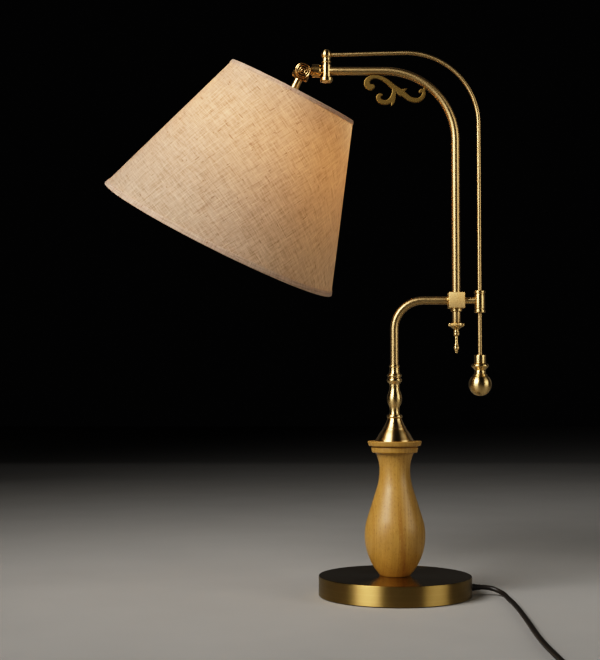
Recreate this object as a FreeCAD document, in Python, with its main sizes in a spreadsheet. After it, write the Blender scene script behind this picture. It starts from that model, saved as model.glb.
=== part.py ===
import FreeCAD, Part
import math
import os
import Sketcher
from FreeCAD import Placement, Rotation, Vector

# Swing-arm balance lamp with a turned wooden body on a weighted round base.
#
# Frame: +Z up, millimetres.  The origin is the centre of the base on the
# table.  The arms lie in the XZ plane: +X is the side of the counterweight
# and of the cord, -X the side of the shade, -Y the front.
#
# What moves:
#   swing       the arm block turns about Z on the pin in the baluster
#   lift        the main tube and the counterbalance rod slide in the block
#   head_roll   the head turns about X on the pin in the front post
#   head_tilt   the shade tilts on the knob's screw
#   knob        the clamping knob turns
#   rocker      the rocker of the inline cord switch tips

doc = FreeCAD.newDocument("balance_lamp")
sheet = doc.addObject("Spreadsheet::Sheet", "dims")
nodes = []


# --------------------------------------------------------------------------
# Sizes: each one keeps its number and the expression that gives it
# --------------------------------------------------------------------------
class Size:
    def __init__(self, value, text):
        self.value = float(value)
        self.text = text

    def _with(self, other, sign, turn=False):
        other = to_size(other)
        a, b = (other, self) if turn else (self, other)
        value = {"+": lambda: a.value + b.value,
                 "-": lambda: a.value - b.value,
                 "*": lambda: a.value * b.value,
                 "/": lambda: a.value / b.value}[sign]()
        return Size(value, "(%s %s %s)" % (a.text, sign, b.text))

    def __add__(self, other):
        return self._with(other, "+")

    def __radd__(self, other):
        return self._with(other, "+", True)

    def __sub__(self, other):
        return self._with(other, "-")

    def __rsub__(self, other):
        return self._with(other, "-", True)

    def __mul__(self, other):
        return self._with(other, "*")

    def __rmul__(self, other):
        return self._with(other, "*", True)

    def __truediv__(self, other):
        return self._with(other, "/")


def to_size(value):
    if isinstance(value, Size):
        return value
    text = ("%.6f" % value).rstrip("0").rstrip(".")
    return Size(value, text if value >= 0 else "(%s)" % text)


cells = []


def dim(name, value):
    """A driving dimension: a cell of the sheet with its alias."""
    cells.append(name)
    cell = "A%d" % len(cells)
    sheet.set(cell, repr(value))
    sheet.setAlias(cell, name)
    return Size(value, "dims." + name)


# ---- base
base_radius = dim("base_radius", 90.0)
base_foot = dim("base_foot", 1.0)            # lower edge of the brass cover
base_top = dim("base_top", 24.0)
cover_wall = dim("cover_wall", 1.2)
plate_low = dim("plate_low", 1.5)            # underside of the bottom plate
plate_thick = dim("plate_thick", 1.2)
weight_radius = dim("weight_radius", 84.0)
weight_low = dim("weight_low", 8.8)
screw_circle = dim("screw_circle", 81.0)
exit_height = dim("exit_height", 10.0)       # height of the cord exit
# ---- column
rod_radius = dim("rod_radius", 5.0)
rod_bore = dim("rod_bore", 3.4)
wood_bore = dim("wood_bore", 5.3)
wood_belly = dim("wood_belly", 35.7)
wood_top = dim("wood_top", 181.8)
bell_top = dim("bell_top", 208.6)
baluster_low = dim("baluster_low", 213.0)
baluster_top = dim("baluster_top", 256.4)
baluster_bore = dim("baluster_bore", 5.2)
pin_radius = dim("pin_radius", 5.15)         # swivel pin, running fit
# ---- arm
tube_radius = dim("tube_radius", 5.0)
tube_bore = dim("tube_bore", 4.0)
elbow_low = dim("elbow_low", 262.0)
elbow_bend = dim("elbow_bend", 35.0)
arm_height = dim("arm_height", 348.6)        # axis of the short arm
tube_x = dim("tube_x", 73.8)                 # axis of the sliding tube
block_size = dim("block_size", 19.0)
bush_radius = dim("bush_radius", 6.5)
bush_bore = dim("bush_bore", 5.05)
rod_x = dim("rod_x", 101.7)                  # axis of the balance rod
rod_thin = dim("rod_thin", 2.5)
sleeve_bore = dim("sleeve_bore", 2.55)
tube_low = dim("tube_low", 321.7)
tube_bend = dim("tube_bend", 83.8)
boom_height = dim("boom_height", 624.2)      # axis of the long tube's level part
boom_end = dim("boom_end", 77.0)             # its end, on the -X side
rod_low = dim("rod_low", 265.0)
rod_bend = dim("rod_bend", 86.3)
rod_bend_height = dim("rod_bend_height", 560.0)
post_x = dim("post_x", 80.4)                 # front post, on the -X side
# ---- head
knuckle_x = dim("knuckle_x", 108.7)          # tilt axis, on the -X side
knuckle_height = dim("knuckle_height", 624.4)
rest_roll = dim("rest_roll", 10.53)          # degrees, about X
rest_tilt = dim("rest_tilt", 26.77)          # degrees, about the tilt axis
shade_top_s = dim("shade_top_s", 25.8)       # distances along the stem
shade_low_s = dim("shade_low_s", 225.5)
shade_top_radius = dim("shade_top_radius", 81.7)
shade_low_radius = dim("shade_low_radius", 153.8)
shade_thick = dim("shade_thick", 0.8)
lining_thick = dim("lining_thick", 0.5)
# ---- cord
cord_radius = dim("cord_radius", 2.75)
switch_x = dim("switch_x", 117.0)
switch_near = dim("switch_near", 490.0)      # its ends, on the -Y side
switch_far = dim("switch_far", 550.0)
coil_x = dim("coil_x", 40.0)
coil_y = dim("coil_y", 548.0)
coil_outer = dim("coil_outer", 41.5)
coil_inner = dim("coil_inner", 22.0)
coil_tall = dim("coil_tall", 11.2)
doc.recompute()


# --------------------------------------------------------------------------
# Ways of making a piece
# --------------------------------------------------------------------------
def node(obj, name):
    obj.Label = name
    nodes.append((name, obj))
    return obj


def new_body(name):
    obj = doc.addObject("PartDesign::Body", "body_" + name)
    return obj


def plane(body, role):
    for feature in body.Origin.OriginFeatures:
        if feature.Role == role:
            return feature
    raise RuntimeError("no plane " + role)


def new_sketch(body, name, role, offset=None):
    sk = body.newObject("Sketcher::SketchObject", name)
    sk.AttachmentSupport = [(plane(body, role), "")]
    sk.MapMode = "FlatFace"
    if offset is not None:
        offset = to_size(offset)
        sk.AttachmentOffset = Placement(Vector(0, 0, offset.value), Rotation())
        if "dims" in offset.text:
            sk.setExpression("AttachmentOffset.Base.z", offset.text)
    return sk


def datum(sk, kind, size, *where):
    size = to_size(size)
    index = sk.addConstraint(Sketcher.Constraint(kind, *where, size.value))
    if "dims" in size.text:
        sk.setExpression("Constraints[%d]" % index, size.text)


def pin_point(sk, geo, pos, x, y):
    x, y = to_size(x), to_size(y)
    if abs(x.value) < 1e-9:
        sk.addConstraint(Sketcher.Constraint("PointOnObject", geo, pos, -2))
    else:
        datum(sk, "DistanceX", x, -1, 1, geo, pos)
    if abs(y.value) < 1e-9:
        sk.addConstraint(Sketcher.Constraint("PointOnObject", geo, pos, -1))
    else:
        datum(sk, "DistanceY", y, -1, 1, geo, pos)


def run(sk, corners, closed=True):
    """Lines and arcs through the corners.  A corner is (x, y) or
    (x, y, radius): the edge that leaves it is then an arc, with its centre
    on the left for a positive radius and on the right for a negative one."""
    count = len(corners)
    last = count if closed else count - 1
    ends = []
    for i in range(last):
        a, b = corners[i], corners[(i + 1) % count]
        x0, y0 = to_size(a[0]).value, to_size(a[1]).value
        x1, y1 = to_size(b[0]).value, to_size(b[1]).value
        if len(a) > 2:
            radius = to_size(a[2])
            side = 1.0 if radius.value > 0 else -1.0
            big = abs(radius.value)
            dx, dy = x1 - x0, y1 - y0
            span = math.hypot(dx, dy)
            rise = math.sqrt(max(0.0, big * big - span * span / 4.0))
            cx = (x0 + x1) / 2.0 - side * dy / span * rise
            cy = (y0 + y1) / 2.0 + side * dx / span * rise
            start = math.atan2(y0 - cy, x0 - cx)
            stop = math.atan2(y1 - cy, x1 - cx)
            if side < 0:
                start, stop = stop, start
            circle = Part.Circle(Vector(cx, cy, 0), Vector(0, 0, 1), big)
            geo = sk.addGeometry(Part.ArcOfCircle(circle, start, stop), False)
            ends.append((geo, 1, 2) if side > 0 else (geo, 2, 1))
            text = radius.text if side > 0 else "(-1 * %s)" % radius.text
            datum(sk, "Radius", Size(big, text), geo)
        else:
            geo = sk.addGeometry(
                Part.LineSegment(Vector(x0, y0, 0), Vector(x1, y1, 0)), False)
            ends.append((geo, 1, 2))
        if i:
            sk.addConstraint(Sketcher.Constraint(
                "Coincident", ends[i - 1][0], ends[i - 1][2], geo, ends[i][1]))
        pin_point(sk, geo, ends[i][1], a[0], a[1])
    if closed:
        sk.addConstraint(Sketcher.Constraint(
            "Coincident", ends[-1][0], ends[-1][2], ends[0][0], ends[0][1]))
    else:
        pin_point(sk, ends[-1][0], ends[-1][2], corners[-1][0], corners[-1][1])


def circle(sk, x, y, radius):
    x, y, radius = to_size(x), to_size(y), to_size(radius)
    geo = sk.addGeometry(Part.Circle(Vector(x.value, y.value, 0),
                                     Vector(0, 0, 1), radius.value), False)
    datum(sk, "Radius", radius, geo)
    if abs(x.value) < 1e-9 and abs(y.value) < 1e-9:
        sk.addConstraint(Sketcher.Constraint("Coincident", geo, 3, -1, 1))
    else:
        pin_point(sk, geo, 3, x, y)


def place(obj, x=0, y=0, z=0, rotation=None):
    x, y, z = to_size(x), to_size(y), to_size(z)
    obj.Placement = Placement(Vector(x.value, y.value, z.value),
                              rotation or Rotation())
    for axis, size in (("x", x), ("y", y), ("z", z)):
        if "dims" in size.text:
            obj.setExpression("Placement.Base." + axis, size.text)
    return obj


def turned(name, corners, **where):
    """A turned piece: a closed run of (radius, height) corners, revolved."""
    body = new_body(name)
    sk = new_sketch(body, name + "_profile", "XZ_Plane")
    run(sk, corners)
    rev = body.newObject("PartDesign::Revolution", name + "_turned")
    rev.Profile = (sk, [""])
    rev.ReferenceAxis = (sk, ["V_Axis"])
    rev.Angle = 360.0
    node(body, name)
    if where:
        place(body, **where)
    return body


def cut_round(body, name, role, x, y, radius, start, depth, forward=True):
    """A round pocket, with its volume compared."""
    doc.recompute()
    before = body.Shape.Volume
    sk = new_sketch(body, name + "_sketch", role, start)
    circle(sk, x, y, radius)
    pocket = body.newObject("PartDesign::Pocket", name)
    pocket.Profile = (sk, [""])
    pocket.Length = to_size(depth).value
    if "dims" in to_size(depth).text:
        pocket.setExpression("Length", to_size(depth).text)
    pocket.Reversed = forward
    doc.recompute()
    if body.Shape.Volume > before - 0.05:
        raise RuntimeError("%s cuts nothing" % name)
    return pocket


def cut_run(body, name, role, corners, start, depth, forward=True):
    doc.recompute()
    before = body.Shape.Volume
    sk = new_sketch(body, name + "_sketch", role, start)
    run(sk, corners)
    pocket = body.newObject("PartDesign::Pocket", name)
    pocket.Profile = (sk, [""])
    pocket.Length = to_size(depth).value
    pocket.Reversed = forward
    doc.recompute()
    if body.Shape.Volume > before - 0.05:
        raise RuntimeError("%s cuts nothing" % name)
    return pocket


def around(body, feature, count, name):
    """Repeats a feature about the body's Z axis."""
    pattern = body.newObject("PartDesign::PolarPattern", name)
    pattern.Originals = [feature]
    pattern.Axis = (plane(body, "Z_Axis"), [""])
    pattern.Angle = 360.0
    pattern.Occurrences = count
    body.Tip = pattern
    return pattern


def bent(name, path, outer, inner=None, start=None, **where):
    """A bar or tube along a flat path in the XZ plane that starts upward or
    along -X."""
    body = new_body(name)
    spine = new_sketch(body, name + "_spine", "XZ_Plane")
    run(spine, path, closed=False)
    role, x, y, offset = start
    sec = new_sketch(body, name + "_section", role, offset)
    circle(sec, x, y, outer)
    if inner is not None:
        circle(sec, x, y, inner)
    pipe = body.newObject("PartDesign::AdditivePipe", name + "_swept")
    pipe.Profile = (sec, [""])
    pipe.Spine = (spine, ["Edge%d" % (i + 1) for i in range(len(path) - 1)])
    node(body, name)
    if where:
        place(body, **where)
    return body


def cyl(name, radius, height, x=0, y=0, z=0, rotation=None):
    obj = doc.addObject("Part::Cylinder", name)
    radius, height = to_size(radius), to_size(height)
    obj.Radius, obj.Height = radius.value, height.value
    if "dims" in radius.text:
        obj.setExpression("Radius", radius.text)
    if "dims" in height.text:
        obj.setExpression("Height", height.text)
    place(obj, x, y, z, rotation)
    return obj


def cone(name, low, high, height, x=0, y=0, z=0, rotation=None):
    obj = doc.addObject("Part::Cone", name)
    low, high, height = to_size(low), to_size(high), to_size(height)
    obj.Radius1, obj.Radius2, obj.Height = low.value, high.value, height.value
    for prop, size in (("Radius1", low), ("Radius2", high),
                       ("Height", height)):
        if "dims" in size.text:
            obj.setExpression(prop, size.text)
    place(obj, x, y, z, rotation)
    return obj


def box(name, sx, sy, sz, x=0, y=0, z=0, rotation=None):
    obj = doc.addObject("Part::Box", name)
    for prop, size in (("Length", sx), ("Width", sy), ("Height", sz)):
        size = to_size(size)
        setattr(obj, prop, size.value)
        if "dims" in size.text:
            obj.setExpression(prop, size.text)
    place(obj, x, y, z, rotation)
    return obj


def hexagon(name, across_flats, height, x=0, y=0, z=0, rotation=None):
    obj = doc.addObject("Part::Prism", name)
    obj.Polygon = 6
    obj.Circumradius = across_flats / math.sqrt(3.0)
    obj.Height = height
    place(obj, x, y, z, rotation)
    return obj


def fuse(name, *shapes):
    obj = doc.addObject("Part::MultiFuse", name)
    obj.Shapes = list(shapes)
    return obj


def cut(name, base, tool):
    obj = doc.addObject("Part::Cut", name)
    obj.Base = base
    obj.Tool = tool
    return obj


def group(name, *shapes):
    obj = doc.addObject("Part::Compound", name)
    obj.Links = list(shapes)
    return node(obj, name)


def on_ball(radius, centre, height):
    """The radius at which a ball centred on the axis has this height."""
    return math.sqrt(radius * radius - (height - centre) ** 2)


TO_X = Rotation(Vector(0, 1, 0), 90)       # +Z of a primitive to +X
TO_Y = Rotation(Vector(1, 0, 0), -90)      # +Z of a primitive to +Y


# --------------------------------------------------------------------------
# Base
# --------------------------------------------------------------------------
inner_wall = base_radius - cover_wall
cover = turned("base_cover", [
    (inner_wall, base_foot),
    (base_radius - 0.4, base_foot, 0.4),
    (base_radius, base_foot + 0.4),
    (base_radius, base_top - 0.8, 0.8),
    (base_radius - 0.8, base_top),
    (baluster_bore, base_top),
    (baluster_bore, base_top - cover_wall),
    (inner_wall, base_top - cover_wall)])
cut_round(cover, "cord_hole", "YZ_Plane", 0, exit_height, 4.6, 80, 15)

weight = turned("base_weight", [
    (baluster_bore, 15.4), (14.0, 15.4), (14.0, weight_low),
    (78.0, weight_low), (78.0, plate_low + plate_thick),
    (weight_radius, plate_low + plate_thick),
    (weight_radius, base_top - cover_wall - 1.0),
    (weight_radius - 1.0, base_top - cover_wall),
    (baluster_bore, base_top - cover_wall)])
cut_run(weight, "cord_channel", "XY_Plane",
        [(10.0, -4.8), (86.0, -4.8), (86.0, 4.8), (10.0, 4.8)], 2.0, 13.0)
tapped = cut_round(weight, "tapped_hole", "XY_Plane",
                   screw_circle * 0.5, screw_circle * 0.8660254, 2.0,
                   2.0, 11.0)
around(weight, tapped, 3, "tapped_holes")

bottom = new_body("bottom_plate")
sk = new_sketch(bottom, "bottom_plate_outline", "XY_Plane", plate_low)
circle(sk, 0, 0, inner_wall - 0.4)
pad = bottom.newObject("PartDesign::Pad", "bottom_plate_pad")
pad.Profile = (sk, [""])
pad.Length = plate_thick.value
pad.setExpression("Length", plate_thick.text)
node(bottom, "bottom_plate")
doc.recompute()
sunk = cut_round(bottom, "screw_hole", "XY_Plane",
                 screw_circle * 0.5, screw_circle * 0.8660254, 2.55,
                 1.0, 3.0)
flare = bottom.newObject("PartDesign::Chamfer", "countersink")
edges = []
for i, edge in enumerate(bottom.Shape.Edges):
    if abs(edge.Length - 2 * math.pi * 2.55) < 0.01 and \
            abs(edge.CenterOfMass.z - plate_low.value) < 0.01:
        edges.append("Edge%d" % (i + 1))
flare.Base = (sunk, edges)
flare.Size = 1.15
doc.recompute()
pattern = bottom.newObject("PartDesign::PolarPattern", "screw_holes")
pattern.Originals = [sunk, flare]
pattern.Axis = (plane(bottom, "Z_Axis"), [""])
pattern.Angle = 360.0
pattern.Occurrences = 3
bottom.Tip = pattern

turned("felt_pad", [
    (0, 0), (87.1, 0, 0.4), (87.5, 0.4), (87.5, plate_low), (0, plate_low)])

screws = []
for i in range(3):
    turn = math.radians(60 + 120 * i)
    x, y = screw_circle * math.cos(turn), screw_circle * math.sin(turn)
    head = cone("plate_screw_head_%d" % i, 3.6, 2.45, plate_thick,
                x, y, plate_low)
    shank = cyl("plate_screw_shank_%d" % i, 1.98, 9.0, x, y,
                plate_low + plate_thick)
    slot = box("plate_screw_slot_%d" % i, 0.9, 8.0, 0.7,
               x - 0.45, y - 4.0, plate_low - 0.1)
    screws.append(cut("plate_screw_%d" % i,
                      fuse("plate_screw_solid_%d" % i, head, shank), slot))
group("plate_screws", *screws)

nut = cut("base_nut_cut", hexagon("base_nut_blank", 17.0, 5.0, 0, 0, 9.2),
          cyl("base_nut_bore", rod_radius, 8.0, 0, 0, 8.0))
node(nut, "base_nut")
turned("base_washer", [(baluster_bore, 14.2), (11.0, 14.2), (11.0, 15.4),
                       (baluster_bore, 15.4)])

# --------------------------------------------------------------------------
# Column
# --------------------------------------------------------------------------
turned("threaded_rod", [(rod_bore, 9.0), (rod_radius, 9.0),
                        (rod_radius, 226.0), (rod_bore, 226.0)])
turned("wood_body", [
    (17.4, base_top, 69.5),
    (wood_belly, 71.0, 65.8),
    (wood_belly - 3.1, 91.0),
    (21.2, 127.0, -66.9),
    (18.2, 148.0, -42.4),
    (22.6, 167.6),
    (26.2, 168.2),
    (27.0, 169.0),
    (27.9, 174.2),
    (26.4, 174.9),
    (26.4, 175.5),
    (30.6, 176.2),
    (31.2, 178.0),
    (32.0, wood_top - 0.6),
    (31.6, wood_top),
    (wood_bore, wood_top),
    (wood_bore, base_top)])
turned("bell_cap", [
    (21.6, wood_top), (23.2, wood_top), (22.8, 183.2), (20.7, 186.3, 36.0),
    (14.9, 195.2), (14.4, 196.0), (14.4, 197.0), (13.8, 197.4, -60.0),
    (9.0, 207.0), (8.6, bell_top), (baluster_bore, bell_top),
    (baluster_bore, 206.6), (7.9, 206.6), (10.2, 201.9), (12.2, 198.0),
    (13.2, 195.6), (16.2, 191.0), (19.2, 186.2), (21.2, 183.4)])
turned("bell_ring", [
    (baluster_bore, bell_top), (8.3, bell_top, 2.6),
    (8.3, baluster_low), (baluster_bore, baluster_low)])
turned("baluster", [
    (baluster_bore, baluster_low), (6.9, baluster_low), (6.0, 214.9),
    (5.8, 217.5), (5.9, 220.4, -10.0), (7.0, 223.6), (8.3, 226.8, 17.0),
    (8.3, 236.8), (7.0, 240.4, -12.0), (6.1, 245.2), (6.2, 248.9),
    (8.0, baluster_top - 5.0, 2.9), (8.0, baluster_top - 0.4),
    (7.8, baluster_top),
    (baluster_bore, baluster_top), (baluster_bore, 234.6), (6.1, 234.6),
    (6.1, 233.0), (baluster_bore, 233.0)])

# --------------------------------------------------------------------------
# Cord entry and the wire up the column
# --------------------------------------------------------------------------
turned("cord_grommet", [
    (0, 0), (4.3, 0), (4.3, 10.2), (6.0, 10.2), (6.0, 14.0), (4.3, 14.0),
    (4.3, 16.6), (3.95, 17.4), (3.85, 19.6), (3.45, 20.0), (3.35, 22.4),
    (3.1, 22.8), (3.1, 26.0), (0, 26.0)],
    x=74.0, z=exit_height, rotation=TO_X)
clamp = cut("cord_clamp_cut",
            box("cord_clamp_blank", 10.0, 14.0, 5.9, 34.0, -7.0, 2.9),
            cyl("cord_clamp_bore", 1.7, 14.0, 32.0, 0, 5.0, TO_X))
node(clamp, "cord_clamp")
bent("stem_wire", [
    (74.0, exit_height), (64.7, exit_height, 12.0), (57.35, 7.5, -12.0),
    (50.0, 5.0), (8.0, 5.0, -8.0), (0, 13.0), (0, 262.0)],
    1.6, start=("YZ_Plane", 0, exit_height, 74.0))

# --------------------------------------------------------------------------
# Swivel and short arm
# --------------------------------------------------------------------------
turned("swivel_washer", [(wood_bore, 256.7), (7.7, 256.7), (7.7, 257.7),
                         (wood_bore, 257.7)])
turned("swivel_collar", [
    (pin_radius, 257.7), (7.7, 257.7, 1.75), (7.7, 261.0), (7.0, 261.2, -18.0),
    (5.8, 266.5), (5.8, 268.8), (5.9, 269.1, 1.3), (5.9, 271.4),
    (5.5, 272.2), (tube_radius, 272.4), (tube_radius, elbow_low),
    (pin_radius, elbow_low)])
turned("swivel_pin", [
    (rod_bore, 229.0), (pin_radius - 0.5, 229.0), (pin_radius, 229.5),
    (pin_radius, 233.2), (4.6, 233.2), (4.6, 234.4), (pin_radius, 234.4),
    (pin_radius, elbow_low), (rod_bore, elbow_low)])
ring = cut("snap_ring_cut",
           cyl("snap_ring_blank", 5.8, 1.0, 0, 0, 233.3),
           fuse("snap_ring_hole",
                cyl("snap_ring_bore", 4.62, 2.0, 0, 0, 233.0),
                box("snap_ring_gap", 10.0, 2.4, 2.0, 0, -1.2, 233.0)))
node(ring, "snap_ring")
bent("elbow_tube", [
    (0, elbow_low), (0, arm_height - elbow_bend, -1.0 * elbow_bend),
    (elbow_bend, arm_height), (66.5, arm_height)],
    tube_radius, tube_bore, start=("XY_Plane", 0, 0, elbow_low))
turned("inlet_ferrule", [
    (tube_radius, 0), (5.7, 0), (6.0, 0.3), (6.0, 1.5), (tube_radius, 1.5)],
    x=62.8, z=arm_height, rotation=TO_X)

half = block_size / 2.0
blank = box("arm_block_blank", block_size, block_size, block_size,
            tube_x - half, -1.0 * half, arm_height - half)
soft = doc.addObject("Part::Chamfer", "arm_block_edges")
soft.Base = blank
soft.Edges = [(i, 0.8, 0.8) for i in range(1, 13)]
block = cut("arm_block_cut", soft, fuse(
    "arm_block_bores",
    cyl("arm_block_bore", bush_radius, 30.0, tube_x, 0, arm_height - 15.0),
    cyl("arm_block_left", tube_radius, 8.0, tube_x - half - 1.0, 0,
        arm_height, TO_X),
    cyl("arm_block_right", 4.0, 8.0, tube_x + half - 7.0, 0, arm_height,
        TO_X)))
node(block, "arm_block")
turned("block_bush", [
    (bush_bore, 335.4), (6.5, 335.4), (6.9, 335.8), (6.9, 339.1),
    (bush_radius, 339.1), (bush_radius, 358.1), (bush_bore, 358.1)],
    x=tube_x)
node(cyl("guide_stub_bar", 4.0, 15.0, 81.4, 0, arm_height, TO_X),
     "guide_stub")
sleeve = turned("guide_sleeve", [
    (sleeve_bore, 333.9), (6.3, 333.9), (6.7, 334.3), (6.7, 336.6),
    (6.3, 337.0), (5.9, 337.2), (5.9, 338.4), (6.3, 338.9), (6.3, 355.1),
    (5.9, 355.6), (5.9, 356.8), (6.5, 357.0), (6.8, 357.4), (6.8, 359.6),
    (6.3, 360.1), (sleeve_bore, 360.1), (sleeve_bore, 351.0), (4.6, 351.0),
    (4.6, 343.0), (sleeve_bore, 343.0)], x=rod_x)
# the guide sleeve's side hole, in its own frame, where the stub enters
cut_round(sleeve, "stub_hole", "YZ_Plane", 0, arm_height, 4.02, -8.0, 3.6)
turned("guide_magnet", [(2.7, 343.0), (4.6, 343.0), (4.6, 351.0),
                        (2.7, 351.0)], x=rod_x)

# --------------------------------------------------------------------------
# Sliding arm
# --------------------------------------------------------------------------
bend_x = tube_x - tube_bend
bent("main_tube", [
    (tube_x, tube_low), (tube_x, boom_height - tube_bend, tube_bend),
    (bend_x, boom_height), (-1.0 * boom_end, boom_height)],
    tube_radius, tube_bore, start=("XY_Plane", tube_x, 0, tube_low))
slope = math.radians(91.5)
bend_c = rod_x - rod_bend
bent("balance_rod", [
    (rod_x, rod_low), (rod_x, rod_bend_height, rod_bend),
    (bend_c + rod_bend * math.cos(slope),
     rod_bend_height + rod_bend * math.sin(slope)),
    (-78.0, 643.863)],
    rod_thin, start=("XY_Plane", rod_x, 0, rod_low))

post = turned("front_post", [
    (0, 616.6), (5.6, 616.6), (5.6, 631.2), (5.0, 632.4), (4.8, 633.5),
    (5.0, 633.9, 1.6), (5.0, 636.6), (4.8, 637.3), (4.8, 639.6),
    (on_ball(6.4, 644.1, 640.4), 640.4, 6.4), (0, 650.5)],
    x=-1.0 * post_x)
# bores in the post's own frame: boom, roll pin and balance rod
cut_round(post, "boom_bore", "YZ_Plane", 0, boom_height, tube_radius,
          post_x - boom_end, 5.0)
cut_round(post, "roll_bore", "YZ_Plane", 0, knuckle_height, 4.05,
          -6.5, 7.6)
cut_round(post, "rod_bore", "YZ_Plane", 0, 643.93, 2.62, 2.3, 6.0)
turned("post_foot", [
    (0, 610.9), (5.9, 610.9, 1.8), (7.7, 612.7), (7.7, 615.2, 1.4),
    (6.3, 616.6), (0, 616.6)], x=-1.0 * post_x)

knurl = turned("knurled_ring", [
    (0, 317.0), (7.9, 317.0), (9.4, 318.0), (9.4, 320.4), (8.6, 321.2),
    (6.4, tube_low), (3.9, tube_low), (3.9, tube_low + 4.0),
    (0, tube_low + 4.0)],
    x=tube_x)
notch = cut_run(knurl, "knurl_notch", "XY_Plane",
                [(8.8, 0.0), (9.8, -0.5), (9.8, 0.5)], 316.0, 8.0)
around(knurl, notch, 40, "knurl")
turned("finial", [
    (0, 285.4), (0.8, 285.7), (1.5, 286.2), (1.4, 287.2), (1.9, 287.9),
    (2.0, 288.7), (2.0, 289.3), (2.9, 290.0, 4.1), (2.9, 294.0), (2.4, 294.6),
    (2.9, 295.3), (2.8, 296.1), (2.0, 297.8), (1.9, 301.6), (1.8, 302.4),
    (2.2, 303.2), (2.2, 304.1), (1.8, 305.2), (2.0, 306.2), (3.4, 307.0),
    (3.9, 307.9), (3.8, 308.9), (3.3, 309.6), (3.4, 310.2), (3.7, 310.9),
    (3.5, 311.9), (2.8, 312.8), (2.7, 313.6), (7.2, 317.0), (0, 317.0)],
    x=tube_x)

turned("weight_collar", [
    (rod_thin, 273.4), (6.8, 273.4), (7.0, 273.7), (7.0, 283.4),
    (6.5, 283.9), (rod_thin, 283.9)], x=rod_x)
turned("counterweight", [
    (0, 234.9, 13.8), (on_ball(13.8, 248.7, 257.9), 257.9), (8.5, 258.5),
    (8.3, 259.0), (8.8, 259.5), (8.7, 260.3), (7.4, 261.0), (6.9, 261.7),
    (7.0, 262.9), (6.7, 264.1), (6.3, 265.2), (6.5, 265.9), (7.6, 266.9),
    (8.4, 268.0), (9.3, 268.7), (10.0, 269.5, 1.9), (10.0, 272.2),
    (9.4, 272.9), (8.7, 273.4), (rod_thin, 273.4), (rod_thin, rod_low),
    (0, rod_low)],
    x=rod_x)

# Scroll under the boom: a cut plate of two leafy strands, 3.2 mm thick.
# Each strand is (x, z, width) along its middle.
SCROLL = {
    "long": [(-25.6, 605.2, 6.8), (-27.9, 604.4, 8.0), (-31.3, 607.2, 8.2),
             (-31.7, 611.5, 7.2), (-28.9, 615.3, 6.0), (-24.3, 617.2, 5.3),
             (-19.1, 617.2, 5.2), (-12.6, 614.8, 5.6), (-6.6, 610.8, 6.2),
             (-1.2, 606.0, 6.8), (3.8, 602.2, 7.4), (9.0, 598.6, 7.4),
             (14.2, 594.6, 6.8), (19.9, 590.5, 6.4), (27.1, 588.8, 6.2),
             (32.8, 590.8, 5.6), (36.0, 595.1, 4.8), (36.2, 599.1, 4.2),
             (33.9, 600.9, 4.2), (32.0, 599.3, 4.0)],
    "short": [(1.2, 602.7, 6.0), (0.45, 598.1, 5.6), (-0.6, 593.5, 6.2),
              (-3.0, 589.5, 6.6), (-7.1, 586.8, 6.4), (-12.3, 586.5, 6.2),
              (-16.7, 588.8, 6.2), (-18.2, 592.5, 6.0), (-16.5, 595.3, 4.6),
              (-14.7, 595.3, 3.6)],
    "leaf_low": [(0.2, 593.5, 5.0), (-0.4, 587.6, 4.4), (-1.7, 584.2, 2.6),
                 (-2.7, 582.2, 1.0)],
    "leaf_mid": [(4.5, 601.0, 5.0), (7.0, 597.0, 4.4), (8.4, 594.0, 1.2)],
    "leaf_up": [(7.6, 599.0, 5.0), (11.0, 600.6, 4.4), (14.0, 601.9, 2.6),
                (15.9, 602.8, 1.0)],
    "link_far": [(35.9, 598.0, 3.6), (36.9, 601.6, 3.4), (37.9, 605.0, 3.0)],
}


def strand(points, thick):
    """A flat strand: two offset splines and its ends, pushed out in Y."""
    left, right = [], []
    count = len(points)
    for i, (x, z, wide) in enumerate(points):
        ahead = points[min(i + 1, count - 1)]
        behind = points[max(i - 1, 0)]
        dx, dz = ahead[0] - behind[0], ahead[1] - behind[1]
        long = math.hypot(dx, dz)
        nx, nz = -dz / long, dx / long
        left.append(Vector(x + nx * wide / 2, -thick / 2, z + nz * wide / 2))
        right.append(Vector(x - nx * wide / 2, -thick / 2, z - nz * wide / 2))
    right.reverse()

    def side(row):
        if len(row) < 3:
            return Part.LineSegment(row[0], row[1]).toShape()
        curve = Part.BSplineCurve()
        curve.interpolate(row)
        return curve.toShape()

    def tip(a, b, back):
        mid = (a + b) * 0.5
        out = mid - back
        out.normalize()
        return Part.Arc(a, mid + out * (a.distanceToPoint(b) / 2), b).toShape()

    start = Vector(points[0][0], -thick / 2, points[0][1])
    after = Vector(points[1][0], -thick / 2, points[1][1])
    final = Vector(points[-1][0], -thick / 2, points[-1][1])
    before = Vector(points[-2][0], -thick / 2, points[-2][1])
    wire = Part.Wire([side(left), tip(left[-1], right[0], before),
                      side(right), tip(right[-1], left[0], after)])
    return Part.Face(wire).extrude(Vector(0, thick, 0))


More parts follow.
